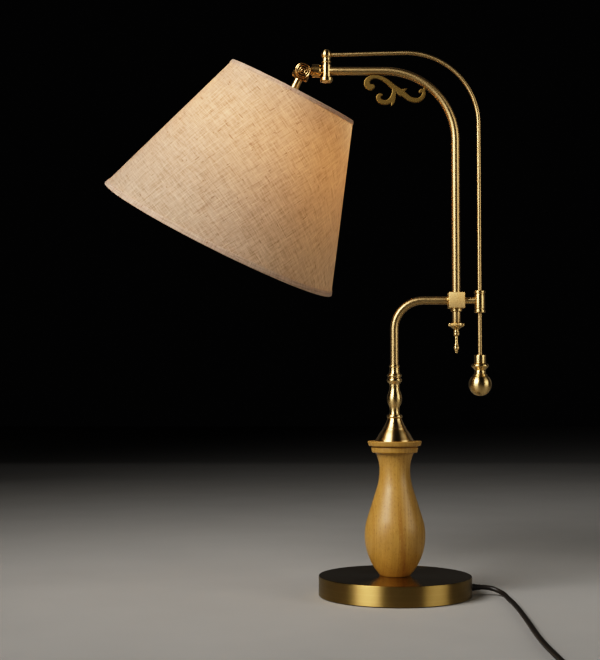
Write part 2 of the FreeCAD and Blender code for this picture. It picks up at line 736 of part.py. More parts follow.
scroll_thick = dim("scroll_thick", 3.2)
doc.recompute()
scroll = doc.addObject("Part::Feature", "scroll_shape")
solid = strand(SCROLL["long"], sheet.scroll_thick)
for key in ("short", "leaf_low", "leaf_mid", "leaf_up", "link_far"):
    solid = solid.fuse(strand(SCROLL[key], sheet.scroll_thick))
tube_hole = Part.makeCylinder(sheet.tube_radius, 130.0,
                              Vector(-70, 0, sheet.boom_height),
                              Vector(1, 0, 0))
bend_hole = Part.makeTorus(sheet.tube_bend, sheet.tube_radius,
                           Vector(bend_x.value, 0,
                                  sheet.boom_height - sheet.tube_bend),
                           Vector(0, 1, 0))
solid = solid.cut(tube_hole).cut(bend_hole).removeSplitter()
if len(solid.Solids) != 1:
    raise RuntimeError("the scroll is in %d pieces" % len(solid.Solids))
scroll.Shape = solid.Solids[0]
scroll.Placement = Placement()
node(scroll, "scroll_ornament")

# --------------------------------------------------------------------------
# Head: yoke, knuckle and knob.  Their shapes are made about the tilt axis's
# centre, and then turned to the rest pose.
# --------------------------------------------------------------------------
CENTRE = Vector(-knuckle_x.value, 0, knuckle_height.value)
ROLLED = Rotation(Vector(1, 0, 0), rest_roll.value)
TILTED = ROLLED.multiply(Rotation(Vector(0, 1, 0), rest_tilt.value))
HANGING = TILTED.multiply(Rotation(Vector(1, 0, 0), 180))


def at_head(obj, rotation, along=None):
    base = CENTRE
    if along is not None:
        base = CENTRE + rotation.multVec(along)
    obj.Placement = Placement(base, rotation)
    return obj


yoke = cut("head_stub_cut", fuse(
    "head_stub_solid",
    cyl("head_stub_tenon", 6.5, 4.85, 0, 0.15, 0, TO_Y),
    box("head_stub_link", 11.2, 4.85, 8.0, 0, 0.15, -4.0),
    cyl("head_stub_neck", 5.2, 1.6, 9.6, 0, 0, TO_X),
    cyl("head_stub_barrel", 7.9, 8.6, 11.2, 0, 0, TO_X),
    cone("head_stub_lip", 7.9, 7.2, 1.5, 19.8, 0, 0, TO_X),
    cyl("head_stub_pin", 4.0, 7.9, 21.3, 0, 0, TO_X)),
    cyl("head_stub_hole", 2.05, 12.0, 0, -3.0, 0, TO_Y))
at_head(node(yoke, "head_stub"), ROLLED)
hinge_nut = cut("hinge_nut_cut",
                hexagon("hinge_nut_blank", 7.0, 2.6, 0, 5.2, 0, TO_Y),
                cyl("hinge_nut_bore", 2.05, 6.0, 0, 4.0, 0, TO_Y))
at_head(node(hinge_nut, "hinge_nut"), ROLLED)

knob = turned("tilt_knob", [
    (0, 1.5), (2.0, 1.5), (2.0, 16.5), (9.1, 16.5), (9.5, 16.9),
    (9.5, 21.6), (9.0, 22.2), (8.3, 22.5), (7.9, 22.2), (7.2, 22.2),
    (6.8, 22.6), (5.7, 22.6), (5.3, 22.2), (4.5, 22.2), (4.1, 22.7),
    (2.9, 22.9), (2.5, 22.5), (1.7, 22.5), (1.3, 22.8), (0, 22.9)])
at_head(knob, ROLLED.multiply(Rotation(Vector(1, 0, 0), 90)),
        Vector(0, 0, -10.0))

DOWN = Rotation(Vector(1, 0, 0), 180)
knuckle = cut(
    "knuckle_body_cut",
    fuse("knuckle_body_solid",
         cyl("knuckle_disc", 8.8, 6.05, 0, -6.2, 0, TO_Y),
         cyl("knuckle_cup", 10.4, 5.4, 0, 0, -3.0, DOWN),
         cone("knuckle_floor", 10.4, 8.7, 2.1, 0, 0, -8.4, DOWN)),
    fuse("knuckle_space",
         cut("knuckle_space_back",
             cyl("knuckle_space_cup", 8.6, 6.0, 0, 0, -2.0, DOWN),
             box("knuckle_space_front", 24.0, 12.0, 24.0,
                 -12.0, -12.15, -12.0)),
         # the flat on the cup's front, under the knob
         box("knuckle_flat", 30.0, 8.0, 30.0, -15.0, -14.2, -15.0),
         cyl("knuckle_hole", 2.3, 14.0, 0, -8.0, 0, TO_Y)))
at_head(node(knuckle, "knuckle_body"), TILTED)

# --------------------------------------------------------------------------
# Head: stem, holder, bulb and shade.  Heights are distances along the stem
# from the tilt axis, downward.
# --------------------------------------------------------------------------
def hung(name, corners):
    return at_head(turned(name, corners), HANGING)


hung("head_stem", [(3.4, 10.5), (5.0, 10.5), (5.0, 32.0), (3.4, 32.0)])
hung("lamp_holder", [
    (5.0, 30.0), (7.0, 30.0), (7.0, 32.6), (9.5, 33.2, 10.0), (19.5, 41.5),
    (19.5, 61.0), (19.1, 62.0), (17.0, 62.0), (17.0, 80.0), (13.4, 80.0),
    (13.4, 58.0), (4.2, 58.0), (4.2, 32.0), (5.0, 32.0)])
hung("shade_nut", [
    (17.2, 63.6), (24.0, 63.6), (24.0, 67.2), (22.0, 70.0), (17.2, 70.0)])
hung("bulb_cap", [
    (0, 59.0), (4.5, 59.0), (9.0, 61.5), (12.4, 63.0), (13.2, 65.0),
    (13.2, 85.0), (0, 85.0)])
hung("bulb_glass", [
    (12.0, 85.0), (13.2, 85.0, -46.0),
    (on_ball(30.0, 137.0, 118.4), 118.4, 30.0), (0, 167.0),
    (0, 166.0, -29.0), (on_ball(29.0, 137.0, 118.8), 118.8, 46.0)])

spread = (shade_low_radius - shade_top_radius) / (shade_low_s - shade_top_s)
hem = 0.6
lean = 1.0 / math.cos(math.atan(spread.value))
skin_top = shade_top_radius - hem
skin_low = shade_low_radius - hem
wall = shade_thick * lean
lining = lining_thick * lean


def skin(inset, s):
    """The radius at s, measured in from the cloth's outer face."""
    return skin_top + spread * (s - shade_top_s) - inset


hung("shade_cover", [
    (skin_top - wall, shade_top_s), (skin_top, shade_top_s),
    (skin_low, shade_low_s), (skin_low - wall, shade_low_s)])
hung("shade_lining", [
    (skin_top - wall - lining, shade_top_s), (skin_top - wall, shade_top_s),
    (skin_low - wall, shade_low_s), (skin_low - wall - lining, shade_low_s)])


def hem_band(name, s_from, s_to):
    body = new_body(name)
    sk = new_sketch(body, name + "_profile", "XZ_Plane")
    run(sk, [(skin(0, s_from), s_from), (skin(-hem, s_from), s_from),
             (skin(-hem, s_to), s_to), (skin(0, s_to), s_to)])
    rev = body.newObject("PartDesign::Revolution", name + "_turned")
    rev.Profile = (sk, [""])
    rev.ReferenceAxis = (sk, ["V_Axis"])
    rev.Angle = 360.0
    return body


upper = hem_band("hem_upper", shade_top_s, shade_top_s + 5.0)
lower = hem_band("hem_lower", shade_low_s - 6.5, shade_low_s)
hems = group("shade_hems", upper, lower)
at_head(hems, HANGING)

ring_top_s = shade_top_s + 2.0
ring_low_s = shade_low_s - 2.0
ring_top_radius = skin(0, ring_top_s) - wall - lining - 1.5 * lean - 0.02
ring_low_radius = skin(0, ring_low_s) - wall - lining - 1.5 * lean - 0.02
low_ring = doc.addObject("Part::Torus", "shade_bottom_ring_wire")
low_ring.Radius1 = ring_low_radius.value
low_ring.Radius2 = 1.5
low_ring.setExpression("Radius1", ring_low_radius.text)
node(low_ring, "shade_bottom_ring")
at_head(low_ring, HANGING, Vector(0, 0, ring_low_s.value))

top_ring = doc.addObject("Part::Torus", "shade_top_wire")
top_ring.Radius1 = ring_top_radius.value
top_ring.Radius2 = 1.5
top_ring.setExpression("Radius1", ring_top_radius.text)
place(top_ring, 0, 0, ring_top_s)
seat = cut("carrier_seat", cyl("carrier_seat_disc", 22.0, 1.6, 0, 0, 62.0),
           cyl("carrier_seat_hole", 17.3, 4.0, 0, 0, 61.0))
spokes = []
for i in range(3):
    turn = math.radians(90 + 120 * i)
    far = Vector(ring_top_radius.value * math.cos(turn),
                 ring_top_radius.value * math.sin(turn), ring_top_s.value)
    near = Vector(21.0 * math.cos(turn), 21.0 * math.sin(turn), 61.9)
    span = near - far
    spoke = doc.addObject("Part::Cylinder", "carrier_spoke_%d" % i)
    spoke.Radius = 1.4
    spoke.Height = span.Length
    spoke.Placement = Placement(far, Rotation(Vector(0, 0, 1), span))
    spokes.append(spoke)
trimmed = cut("carrier_trimmed", fuse("carrier_solid", top_ring, seat,
                                      *spokes),
              cyl("carrier_room", 17.3, 4.0, 0, 0, 61.0))
node(trimmed, "shade_carrier")
at_head(trimmed, HANGING)

# --------------------------------------------------------------------------
# Inline switch, plug and cord on the table
# --------------------------------------------------------------------------
SW = Vector(switch_x.value, -(switch_near.value + switch_far.value) / 2, 0)


def shell(name, low, tall, roof):
    """Half of the switch's case: a rounded slab, hollowed from one side."""
    body = new_body(name)
    sk = new_sketch(body, name + "_outline", "XY_Plane", low)
    run(sk, [(9.0, -30.0, 16.0), (13.0, -20.0), (13.0, 20.0, 16.0),
             (9.0, 30.0), (-9.0, 30.0, 16.0), (-13.0, 20.0),
             (-13.0, -20.0, 16.0), (-9.0, -30.0)])
    pad = body.newObject("PartDesign::Pad", name + "_pad")
    pad.Profile = (sk, [""])
    pad.Length = tall
    node(body, name)
    doc.recompute()
    edges = []
    level = low if not roof else low + tall
    for i, edge in enumerate(body.Shape.Edges):
        if abs(edge.BoundBox.ZMin - level) < 0.01 and \
                abs(edge.BoundBox.ZMax - level) < 0.01:
            edges.append("Edge%d" % (i + 1))
    soft = body.newObject("PartDesign::Fillet", name + "_edges")
    soft.Base = (pad, edges)
    soft.Radius = 2.0
    doc.recompute()
    start = low + 1.8 if not roof else low + tall - 1.8
    cut_run(body, name + "_hollow", "XY_Plane",
            [(-10.8, -19.0), (10.8, -19.0), (10.8, 19.0), (-10.8, 19.0)],
            start, tall, forward=not roof)
    return body


low_shell = shell("switch_lower_shell", 0.0, 8.0, False)
cut_round(low_shell, "screw_seat_a", "XY_Plane", 0, 25.0, 2.8, 0.0, 2.0)
cut_round(low_shell, "screw_seat_b", "XY_Plane", 0, -25.0, 2.8, 0.0, 2.0)
cut_round(low_shell, "screw_way_a", "XY_Plane", 0, 25.0, 1.55, 0.0, 9.0)
cut_round(low_shell, "screw_way_b", "XY_Plane", 0, -25.0, 1.55, 0.0, 9.0)
low_shell.Placement = Placement(SW, Rotation())
high_shell = shell("switch_upper_shell", 8.0, 9.0, True)
cut_run(high_shell, "rocker_opening", "XY_Plane",
        [(-5.6, -8.9), (5.6, -8.9), (5.6, 8.9), (-5.6, 8.9)], 13.0, 8.0)
cut_round(high_shell, "screw_hole_a", "XY_Plane", 0, 25.0, 1.42, 7.0, 6.0)
cut_round(high_shell, "screw_hole_b", "XY_Plane", 0, -25.0, 1.42, 7.0, 6.0)
for side in (-1, 1):
    tag = "left" if side < 0 else "right"
    sk = new_sketch(high_shell, "lug_%s_sketch" % tag, "XY_Plane", 10.8)
    run(sk, [(side * 5.9, -2.4), (side * 8.1, -2.4), (side * 8.1, 2.4),
             (side * 5.9, 2.4)][::side])
    lug = high_shell.newObject("PartDesign::Pad", "lug_" + tag)
    lug.Profile = (sk, [""])
    lug.Length = 4.6
cut_round(high_shell, "pin_bore", "YZ_Plane", 0, 13.6, 1.02, -8.5, 17.0)
high_shell.Placement = Placement(SW, Rotation())

pin = cyl("rocker_pin_bar", 1.0, 15.6, SW.x - 7.8, SW.y, 13.6, TO_X)
node(pin, "rocker_pin")
rocker = new_body("switch_rocker")
sk = new_sketch(rocker, "switch_rocker_side", "YZ_Plane", -5.1)
run(sk, [(-7.4, 3.2), (-7.4, -0.8), (-4.4, -3.6), (4.4, -3.6), (7.4, -0.8),
         (7.4, 3.2, -40.0)])
pad = rocker.newObject("PartDesign::Pad", "switch_rocker_pad")
pad.Profile = (sk, [""])
pad.Length = 10.2
node(rocker, "switch_rocker")
doc.recompute()
cut_round(rocker, "rocker_bore", "YZ_Plane", 0, 0, 1.05, -6.0, 12.0)
rocker.Placement = Placement(SW + Vector(0, 0, 13.6),
                             Rotation(Vector(1, 0, 0), 8.0))

fasteners = []
for tag, dy in (("a", 25.0), ("b", -25.0)):
    fasteners.append(cut(
        "switch_screw_" + tag,
        fuse("switch_screw_solid_" + tag,
             cyl("switch_screw_head_" + tag, 2.6, 1.4, SW.x, SW.y + dy, 0.6),
             cyl("switch_screw_shank_" + tag, 1.4, 10.0, SW.x, SW.y + dy,
                 2.0)),
        box("switch_screw_slot_" + tag, 6.0, 0.7, 0.6, SW.x - 3.0,
            SW.y + dy - 0.35, 0.5)))
group("switch_screws", *fasteners)

PLUG = Vector(2.8, -512.0, 0)
plug = new_body("plug_body")
low_loft = new_sketch(plug, "plug_cord_end", "XZ_Plane", 0)
circle(low_loft, 0, 7.0, 4.0)
high_loft = new_sketch(plug, "plug_neck", "XZ_Plane", -9.0)
circle(high_loft, 0, 7.0, 5.4)
loft = plug.newObject("PartDesign::AdditiveLoft", "plug_relief")
loft.Profile = (low_loft, [""])
loft.Sections = [high_loft]
sk = new_sketch(plug, "plug_block_outline", "XZ_Plane", -9.0)
run(sk, [(-8.5, 0.0), (8.5, 0.0, 3.5), (12.0, 3.5), (12.0, 10.5, 3.5),
         (8.5, 14.0), (-8.5, 14.0, 3.5), (-12.0, 10.5), (-12.0, 3.5, 3.5)])
pad = plug.newObject("PartDesign::Pad", "plug_block")
pad.Profile = (sk, [""])
pad.Length = 23.0
pad.Reversed = True
node(plug, "plug_body")
plug.Placement = Placement(PLUG, Rotation())
blades = []
for tag, dx in (("a", -6.35), ("b", 6.35)):
    blades.append(box("plug_blade_" + tag, 1.5, 17.5, 6.3,
                      PLUG.x + dx - 0.75, PLUG.y + 32.0, 7.0 - 3.15))
group("plug_pins", *blades)

# The cord's route on the table: the corners of its straight runs.
ROUTE = [(100.0, 0.0, 10.0), (107.0, 0.0, 10.0), (115.2, -2.2, 8.7),
         (121.4, -7.4, 6.5), (125.6, -14.8, 4.5), (127.3, -23.4, 3.2),
         (127.2, -38.0, 2.75), (127.9, -66.0, 2.75), (127.4, -104.0, 2.75),
         (125.5, -150.0, 2.75), (123.2, -200.0, 2.75), (120.3, -250.0, 2.75),
         (118.6, -300.0, 2.75), (118.9, -350.0, 2.75), (120.0, -398.0, 2.75),
         (119.2, -438.0, 3.4), (117.4, -462.0, 6.8), (117.0, -477.0, 8.0),
         (117.0, -490.0, 8.0)]
TAIL = [(117.0, -550.0, 8.0), (117.0, -558.0, 8.0), (114.4, -567.0, 6.3),
        (108.4, -575.4, 4.2), (99.6, -581.8, 3.0), (88.6, -585.4, 2.75),
        (75.0, -586.9, 2.75), (60.0, -586.5, 2.75), (48.0, -586.5, 2.75)]


def cord(name, route, radius):
    """Straight runs joined by tangent arcs, swept with a round section."""
    points = [Vector(*p) for p in route]
    edges, radii, length = [], [], 0.0
    here = points[0]
    for i in range(1, len(points) - 1):
        back, on = points[i - 1] - points[i], points[i + 1] - points[i]
        share = 0.45 * min(back.Length, on.Length)
        turn = math.pi - back.getAngle(on)
        bend = share / math.tan(turn / 2)
        radii.append(bend)
        a = points[i] + Vector(back).normalize() * share
        b = points[i] + Vector(on).normalize() * share
        mid = (a + b) * 0.5
        toward = points[i] - mid
        sag = bend * (1 - math.cos(turn / 2))
        peak = mid + toward.normalize() * sag
        edges.append(Part.LineSegment(here, a).toShape())
        edges.append(Part.Arc(a, peak, b).toShape())
        length += here.distanceToPoint(a) + bend * turn
        here = b
    edges.append(Part.LineSegment(here, points[-1]).toShape())
    length += here.distanceToPoint(points[-1])
    path = Part.Wire(edges)
    start = Vector(points[1] - points[0]).normalize()
    ring = Part.Wire([Part.Circle(points[0], start, radius).toShape()])
    solid = path.makePipeShell([ring], True, False)
    if solid.Volume < 0:
        solid.reverse()
    ideal = math.pi * radius * radius * length
    print("%s: length %.1f, volume %.1f of %.1f, radii %s" % (
        name, length, solid.Volume, ideal,
        " ".join("%.0f" % r for r in radii)))
    if abs(solid.Volume / ideal - 1) > 0.01:
        raise RuntimeError(name + " has the wrong volume")
    obj = doc.addObject("Part::Feature", name + "_shape")
    obj.Shape = solid
    obj.Placement = Placement()
    return node(obj, name)


cord("power_cord", ROUTE, sheet.cord_radius)
cord("cord_tail", TAIL, sheet.cord_radius)
cord("cord_end", [(3.5, -536.0, 8.0), (2.8, -524.0, 7.0), (2.8, -512.0, 7.0)],
     sheet.cord_radius)
turned("cord_coil", [
    (coil_inner, 0.6), (coil_inner + 0.6, 0), (coil_outer - 2.2, 0, 2.2),
    (coil_outer, 2.2), (coil_outer, coil_tall - 2.2, 2.2),
    (coil_outer - 2.2, coil_tall), (coil_inner + 2.2, coil_tall),
    (coil_inner, coil_tall - 2.2)],
    x=coil_x, y=-1.0 * coil_y)

# --------------------------------------------------------------------------
# Checks and files
# --------------------------------------------------------------------------
doc.recompute()
for obj in doc.Objects:
    if "Invalid" in obj.State or "Error" in obj.State:
        raise RuntimeError("%s (%s): %s" % (obj.Name, obj.Label, obj.State))
os.makedirs("parts", exist_ok=True)
total = 0
for name, obj in nodes:
    shape = obj.Shape
    if shape.isNull() or not shape.isValid() or not shape.Solids:
        raise RuntimeError("bad shape: " + name)
    if len(shape.Solids) > 1 and name not in (
            "plate_screws", "switch_screws", "plug_pins", "shade_hems"):
        raise RuntimeError("%s has %d solids" % (name, len(shape.Solids)))
for name, obj in nodes:
    obj.Shape.exportStep("parts/%s.step" % name)
    total += 1
print("nodes:", total)
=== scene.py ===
"""Swing-arm balance lamp: turned wood body, satin brass arms, linen shade."""
import math

import bmesh
import bpy
import numpy as np
from mathutils import Matrix, Vector, noise


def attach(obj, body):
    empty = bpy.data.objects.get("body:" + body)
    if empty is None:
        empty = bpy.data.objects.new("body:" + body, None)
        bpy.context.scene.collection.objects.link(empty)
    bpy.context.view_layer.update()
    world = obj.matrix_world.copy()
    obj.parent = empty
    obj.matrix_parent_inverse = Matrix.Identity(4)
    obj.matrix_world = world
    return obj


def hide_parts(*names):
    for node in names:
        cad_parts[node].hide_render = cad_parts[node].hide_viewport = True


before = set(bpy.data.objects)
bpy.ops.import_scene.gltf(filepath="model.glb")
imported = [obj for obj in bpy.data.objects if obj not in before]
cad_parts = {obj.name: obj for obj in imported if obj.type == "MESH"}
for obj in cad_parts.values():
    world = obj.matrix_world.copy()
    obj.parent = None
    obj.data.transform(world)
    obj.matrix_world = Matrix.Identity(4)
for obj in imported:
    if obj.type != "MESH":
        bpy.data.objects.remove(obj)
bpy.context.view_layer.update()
MM = 0.001

# --------------------------------------------------------------------------
# Camera
# --------------------------------------------------------------------------
eye = bpy.data.cameras.new("camera")
eye.sensor_width = 36.0
eye.lens = 70.91
eye.clip_start = 0.01
eye.clip_end = 40.0
camera = bpy.data.objects.new("camera", eye)
camera.location = (-0.1121, -1.544, 0.243)
camera.rotation_euler = (math.radians(92.61), 0.0, 0.0)
bpy.context.scene.collection.objects.link(camera)
bpy.context.scene.camera = camera


# --------------------------------------------------------------------------
# Node helpers
# --------------------------------------------------------------------------
class Tree:
    """A material's nodes, made and linked in short calls."""

    def __init__(self, name):
        self.mat = bpy.data.materials.new(name)
        self.mat.use_nodes = True
        self.nodes = self.mat.node_tree.nodes
        self.links = self.mat.node_tree.links
        self.nodes.clear()
        self.out = self.nodes.new("ShaderNodeOutputMaterial")

    def link(self, source, target):
        self.links.new(source, target)
        return source

    def put(self, socket, value):
        if isinstance(value, bpy.types.NodeSocket):
            self.links.new(value, socket)
        elif value is not None:
            socket.default_value = value

    def node(self, kind, inputs=None, **props):
        made = self.nodes.new(kind)
        for key, value in props.items():
            setattr(made, key, value)
        for key, value in (inputs or {}).items():
            self.put(made.inputs[key], value)
        return made

    def math(self, operation, a, b=None, c=None, clamp=False):
        made = self.nodes.new("ShaderNodeMath")
        made.operation = operation
        made.use_clamp = clamp
        for i, value in enumerate((a, b, c)):
            self.put(made.inputs[i], value)
        return made.outputs[0]

    def remap(self, value, low, high, to_low=0.0, to_high=1.0, smooth=False):
        made = self.nodes.new("ShaderNodeMapRange")
        made.interpolation_type = "SMOOTHSTEP" if smooth else "LINEAR"
        self.put(made.inputs["Value"], value)
        made.inputs["From Min"].default_value = low
        made.inputs["From Max"].default_value = high
        made.inputs["To Min"].default_value = to_low
        made.inputs["To Max"].default_value = to_high
        return made.outputs[0]

    def noise(self, vector, scale, detail=2.0, rough=0.5, dims="3D",
              distortion=0.0):
        made = self.nodes.new("ShaderNodeTexNoise")
        made.noise_dimensions = dims
        if dims == "1D":
            self.put(made.inputs["W"], vector)
        else:
            self.put(made.inputs["Vector"], vector)
        made.inputs["Scale"].default_value = scale
        made.inputs["Detail"].default_value = detail
        made.inputs["Roughness"].default_value = rough
        made.inputs["Distortion"].default_value = distortion
        return made.outputs["Fac"]

    def mix(self, factor, a, b, blend="MIX"):
        made = self.nodes.new("ShaderNodeMix")
        made.data_type = "RGBA"
        made.blend_type = blend
        made.clamp_factor = True
        self.put(made.inputs[0], factor)
        self.put(made.inputs[6], a)
        self.put(made.inputs[7], b)
        return made.outputs[2]

    def ramp(self, value, stops, mode="LINEAR"):
        made = self.nodes.new("ShaderNodeValToRGB")
        ramp = made.color_ramp
        ramp.interpolation = mode
        while len(ramp.elements) < len(stops):
            ramp.elements.new(0.5)
        for element, (place, colour) in zip(ramp.elements, stops):
            element.position = place
            element.color = colour
        self.put(made.inputs[0], value)
        return made.outputs[0]

    def object_coords(self):
        return self.nodes.new("ShaderNodeTexCoord").outputs["Object"]

    def split(self, vector):
        made = self.nodes.new("ShaderNodeSeparateXYZ")
        self.put(made.inputs[0], vector)
        return made.outputs

    def join(self, x, y, z):
        made = self.nodes.new("ShaderNodeCombineXYZ")
        for i, value in enumerate((x, y, z)):
            self.put(made.inputs[i], value)
        return made.outputs[0]

    def bump(self, height, strength, distance, normal=None):
        made = self.nodes.new("ShaderNodeBump")
        made.inputs["Strength"].default_value = strength
        made.inputs["Distance"].default_value = distance
        self.put(made.inputs["Height"], height)
        self.put(made.inputs["Normal"], normal)
        return made.outputs[0]

    def shader(self, **inputs):
        made = self.nodes.new("ShaderNodeBsdfPrincipled")
        for key, value in inputs.items():
            self.put(made.inputs[key.replace("_", " ")], value)
        self.links.new(made.outputs[0], self.out.inputs[0])
        return made


def rgb(red, green, blue):
    """A colour given as it shows on a screen, 0 to 255, made linear."""
    row = []
    for value in (red, green, blue):
        value /= 255.0
        row.append(value / 12.92 if value <= 0.04045
                   else ((value + 0.055) / 1.055) ** 2.4)
    return (*row, 1.0)


# --------------------------------------------------------------------------
# Mesh helpers.  Sizes are in millimetres and become metres in the mesh.
# --------------------------------------------------------------------------
def put_mesh(name, verts, faces, material, body=None, matrix=None,
             sharp=38.0, coords=None, runs=None):
    mesh = bpy.data.meshes.new(name)
    mesh.from_pydata([tuple(v) for v in verts], [], faces)
    if coords is not None:
        layer = mesh.attributes.new("lay", "FLOAT_VECTOR", "POINT")
        layer.data.foreach_set("vector", np.asarray(coords, np.float32).ravel())
    if runs is not None:
        layer = mesh.attributes.new("run", "FLOAT_VECTOR", "POINT")
        layer.data.foreach_set("vector", np.asarray(runs, np.float32).ravel())
    work = bmesh.new()
    work.from_mesh(mesh)
    bmesh.ops.recalc_face_normals(work, faces=work.faces)
    work.to_mesh(mesh)
    work.free()
    mesh.shade_smooth()
    if sharp:
        mesh.set_sharp_from_angle(angle=math.radians(sharp))
    mesh.materials.append(material)
    obj = bpy.data.objects.new(name, mesh)
    bpy.context.scene.collection.objects.link(obj)
    if matrix is not None:
        obj.matrix_world = matrix
    if body:
        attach(obj, body)
    return obj


def arc_between(a, b, radius, step):
    """Points strictly between a and b on the arc; the centre is on the left
    for a positive radius."""
    side = 1.0 if radius > 0 else -1.0
    big = abs(radius)
    dx, dy = b[0] - a[0], b[1] - a[1]
    span = math.hypot(dx, dy)
    rise = math.sqrt(max(0.0, big * big - span * span / 4.0))
    cx = (a[0] + b[0]) / 2.0 - side * dy / span * rise
    cy = (a[1] + b[1]) / 2.0 + side * dx / span * rise
    start = math.atan2(a[1] - cy, a[0] - cx)
    stop = math.atan2(b[1] - cy, b[0] - cx)
    turn = (stop - start) % (2 * math.pi) if side > 0 \
        else -((start - stop) % (2 * math.pi))
    steps = max(3, int(math.ceil(abs(turn) / math.radians(step))))
    return [(cx + big * math.cos(start + turn * k / steps),
             cy + big * math.sin(start + turn * k / steps))
            for k in range(1, steps)]


def outline(corners, soft, step=7.0):
    """A closed run of corners as close points, its sharp corners eased."""
    rough = []
    count = len(corners)
    for i in range(count):
        a, b = corners[i], corners[(i + 1) % count]
        rough.append((a[0], a[1], True))
        if len(a) > 2:
            rough += [(x, y, False) for x, y in
                      arc_between(a, b, a[2], step)]
    points = []
    count = len(rough)
    for i in range(count):
        x, y, corner = rough[i]
        px, py, _ = rough[i - 1]
        nx, ny, _ = rough[(i + 1) % count]
        back, ahead = math.hypot(x - px, y - py), math.hypot(nx - x, ny - y)
        turn = abs((math.atan2(ny - y, nx - x) - math.atan2(y - py, x - px)
                    + math.pi) % (2 * math.pi) - math.pi)
        if not corner or x < 1e-6 or turn < math.radians(14):
            points.append((x, y))
            continue
        reach = min(soft, 0.42 * back, 0.42 * ahead)
        ax, ay = x + (px - x) / back * reach, y + (py - y) / back * reach
        bx, by = x + (nx - x) / ahead * reach, y + (ny - y) / ahead * reach
        for t in (0.0, 0.25, 0.5, 0.75, 1.0):
            u = 1.0 - t
            points.append((u * u * ax + 2 * u * t * x + t * t * bx,
                           u * u * ay + 2 * u * t * y + t * t * by))
    return points


def lathe(name, corners, material, body, matrix=None, soft=0.25, around=128,
          step=7.0, wave=None):
    """A turned piece about its own Z axis."""
    points = outline(corners, soft, step)
    verts, faces, rows = [], [], []
    for x, z in points:
        if x < 1e-6:
            rows.append([len(verts)])
            verts.append((0.0, 0.0, z * MM))
            continue
        row = []
        for k in range(around):
            turn = 2 * math.pi * k / around
            radius = x if wave is None else wave(x, z, turn)
            row.append(len(verts))
            verts.append((radius * math.cos(turn) * MM,
                          radius * math.sin(turn) * MM, z * MM))
        rows.append(row)
    for i in range(len(rows)):
        a, b = rows[i], rows[(i + 1) % len(rows)]
        if len(a) == 1 and len(b) == 1:
            continue
        for k in range(around):
            m = (k + 1) % around
            if len(a) == 1:
                faces.append((a[0], b[m], b[k]))
            elif len(b) == 1:
                faces.append((a[k], a[m], b[0]))
            else:
                faces.append((a[k], a[m], b[m], b[k]))
    return put_mesh(name, verts, faces, material, body, matrix)


def flat_path(corners, step=1.5):
    """An open run in the XZ plane as points with their directions."""
    points = []
    for i in range(len(corners) - 1):
        a, b = corners[i], corners[i + 1]
        points.append((a[0], a[1]))
        if len(a) > 2:
            points += arc_between(a, b, a[2], step)
        else:
            long = math.hypot(b[0] - a[0], b[1] - a[1])
            parts = max(1, int(long / 12.0))
            points += [(a[0] + (b[0] - a[0]) * k / parts,
                        a[1] + (b[1] - a[1]) * k / parts)
                       for k in range(1, parts)]
    points.append((corners[-1][0], corners[-1][1]))
    return points


def tube(name, corners, radius, material, body, bore=None, soft=0.35,
         around=48):
    """A bar or tube swept along a flat path, its rims eased."""
    path = flat_path(corners)
    count = len(path)
    rings = []
    run = 0.0
    stations = []
    for i, (x, z) in enumerate(path):
        px, pz = path[max(i - 1, 0)]
        nx, nz = path[min(i + 1, count - 1)]
        long = math.hypot(nx - px, nz - pz)
        tangent = ((nx - px) / long, (nz - pz) / long)
        if i:
            run += math.hypot(x - path[i - 1][0], z - path[i - 1][1])
        stations.append((x, z, tangent, run))

    def ring(x, z, tangent, run, radius, ahead=0.0):
        x, z = x + tangent[0] * ahead, z + tangent[1] * ahead
        rings.append((x, z, tangent, run + ahead, radius))

    first, last = stations[0], stations[-1]
    for k in range(5):
        turn = math.pi / 2 * k / 4
        ring(*first, radius - soft + soft * math.sin(turn),
             soft - soft * math.cos(turn))
    for station in stations[1:-1]:
        ring(*station, radius)
    for k in range(5):
        turn = math.pi / 2 * k / 4
        ring(*last, radius - soft + soft * math.cos(turn),
             -soft + soft * math.sin(turn))
    if bore:
        for station in reversed(stations):
            ring(*station, bore)
    verts, faces, coords, runs, rows = [], [], [], [], []
    for x, z, tangent, run, size in rings:
        row = []
        for k in range(around):
            turn = 2 * math.pi * k / around
            out, side = size * math.cos(turn), size * math.sin(turn)
            row.append(len(verts))
            runs.append((tangent[0], 0.0, tangent[1]))
            verts.append(((x - tangent[1] * out) * MM, side * MM,
                          (z + tangent[0] * out) * MM))
            coords.append((math.cos(turn) * size * MM,
                           math.sin(turn) * size * MM, run * MM))
        rows.append(row)
    pairs = list(zip(rows, rows[1:]))
    if bore:
        pairs.append((rows[-1], rows[0]))
    for a, b in pairs:
        for k in range(around):
            m = (k + 1) % around
            faces.append((a[k], a[m], b[m], b[k]))
    if not bore:
        for row in (rows[0], rows[-1]):
            x = sum(verts[i][0] for i in row) / around
            z = sum(verts[i][2] for i in row) / around
            middle = len(verts)
            runs.append(runs[row[0]])
            verts.append((x, 0.0, z))
            coords.append((0.0, 0.0, coords[row[0]][2]))
            for k in range(around):
                faces.append((row[k], row[(k + 1) % around], middle))
    return put_mesh(name, verts, faces, material, body, coords=coords,
                    runs=runs)


def moved(x, y=0.0, z=0.0, rotation=None):
    matrix = Matrix.Translation((x * MM, y * MM, z * MM))
    return matrix @ rotation.to_4x4() if rotation is not None else matrix


def turn(axis, degrees):
    return Matrix.Rotation(math.radians(degrees), 3, axis)


TO_X = turn("Y", 90)
TO_Y = turn("X", -90)


def on_ball(radius, centre, height):
    return math.sqrt(radius * radius - (height - centre) ** 2)


def take(obj, *names):
    """obj stands for these CAD nodes."""
    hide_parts(*names)
    return obj


def finish_node(name, material):
    """Gives a CAD node that is kept its material."""
    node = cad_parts[name]
    node.data.materials.clear()
    node.data.materials.append(material)
    return node


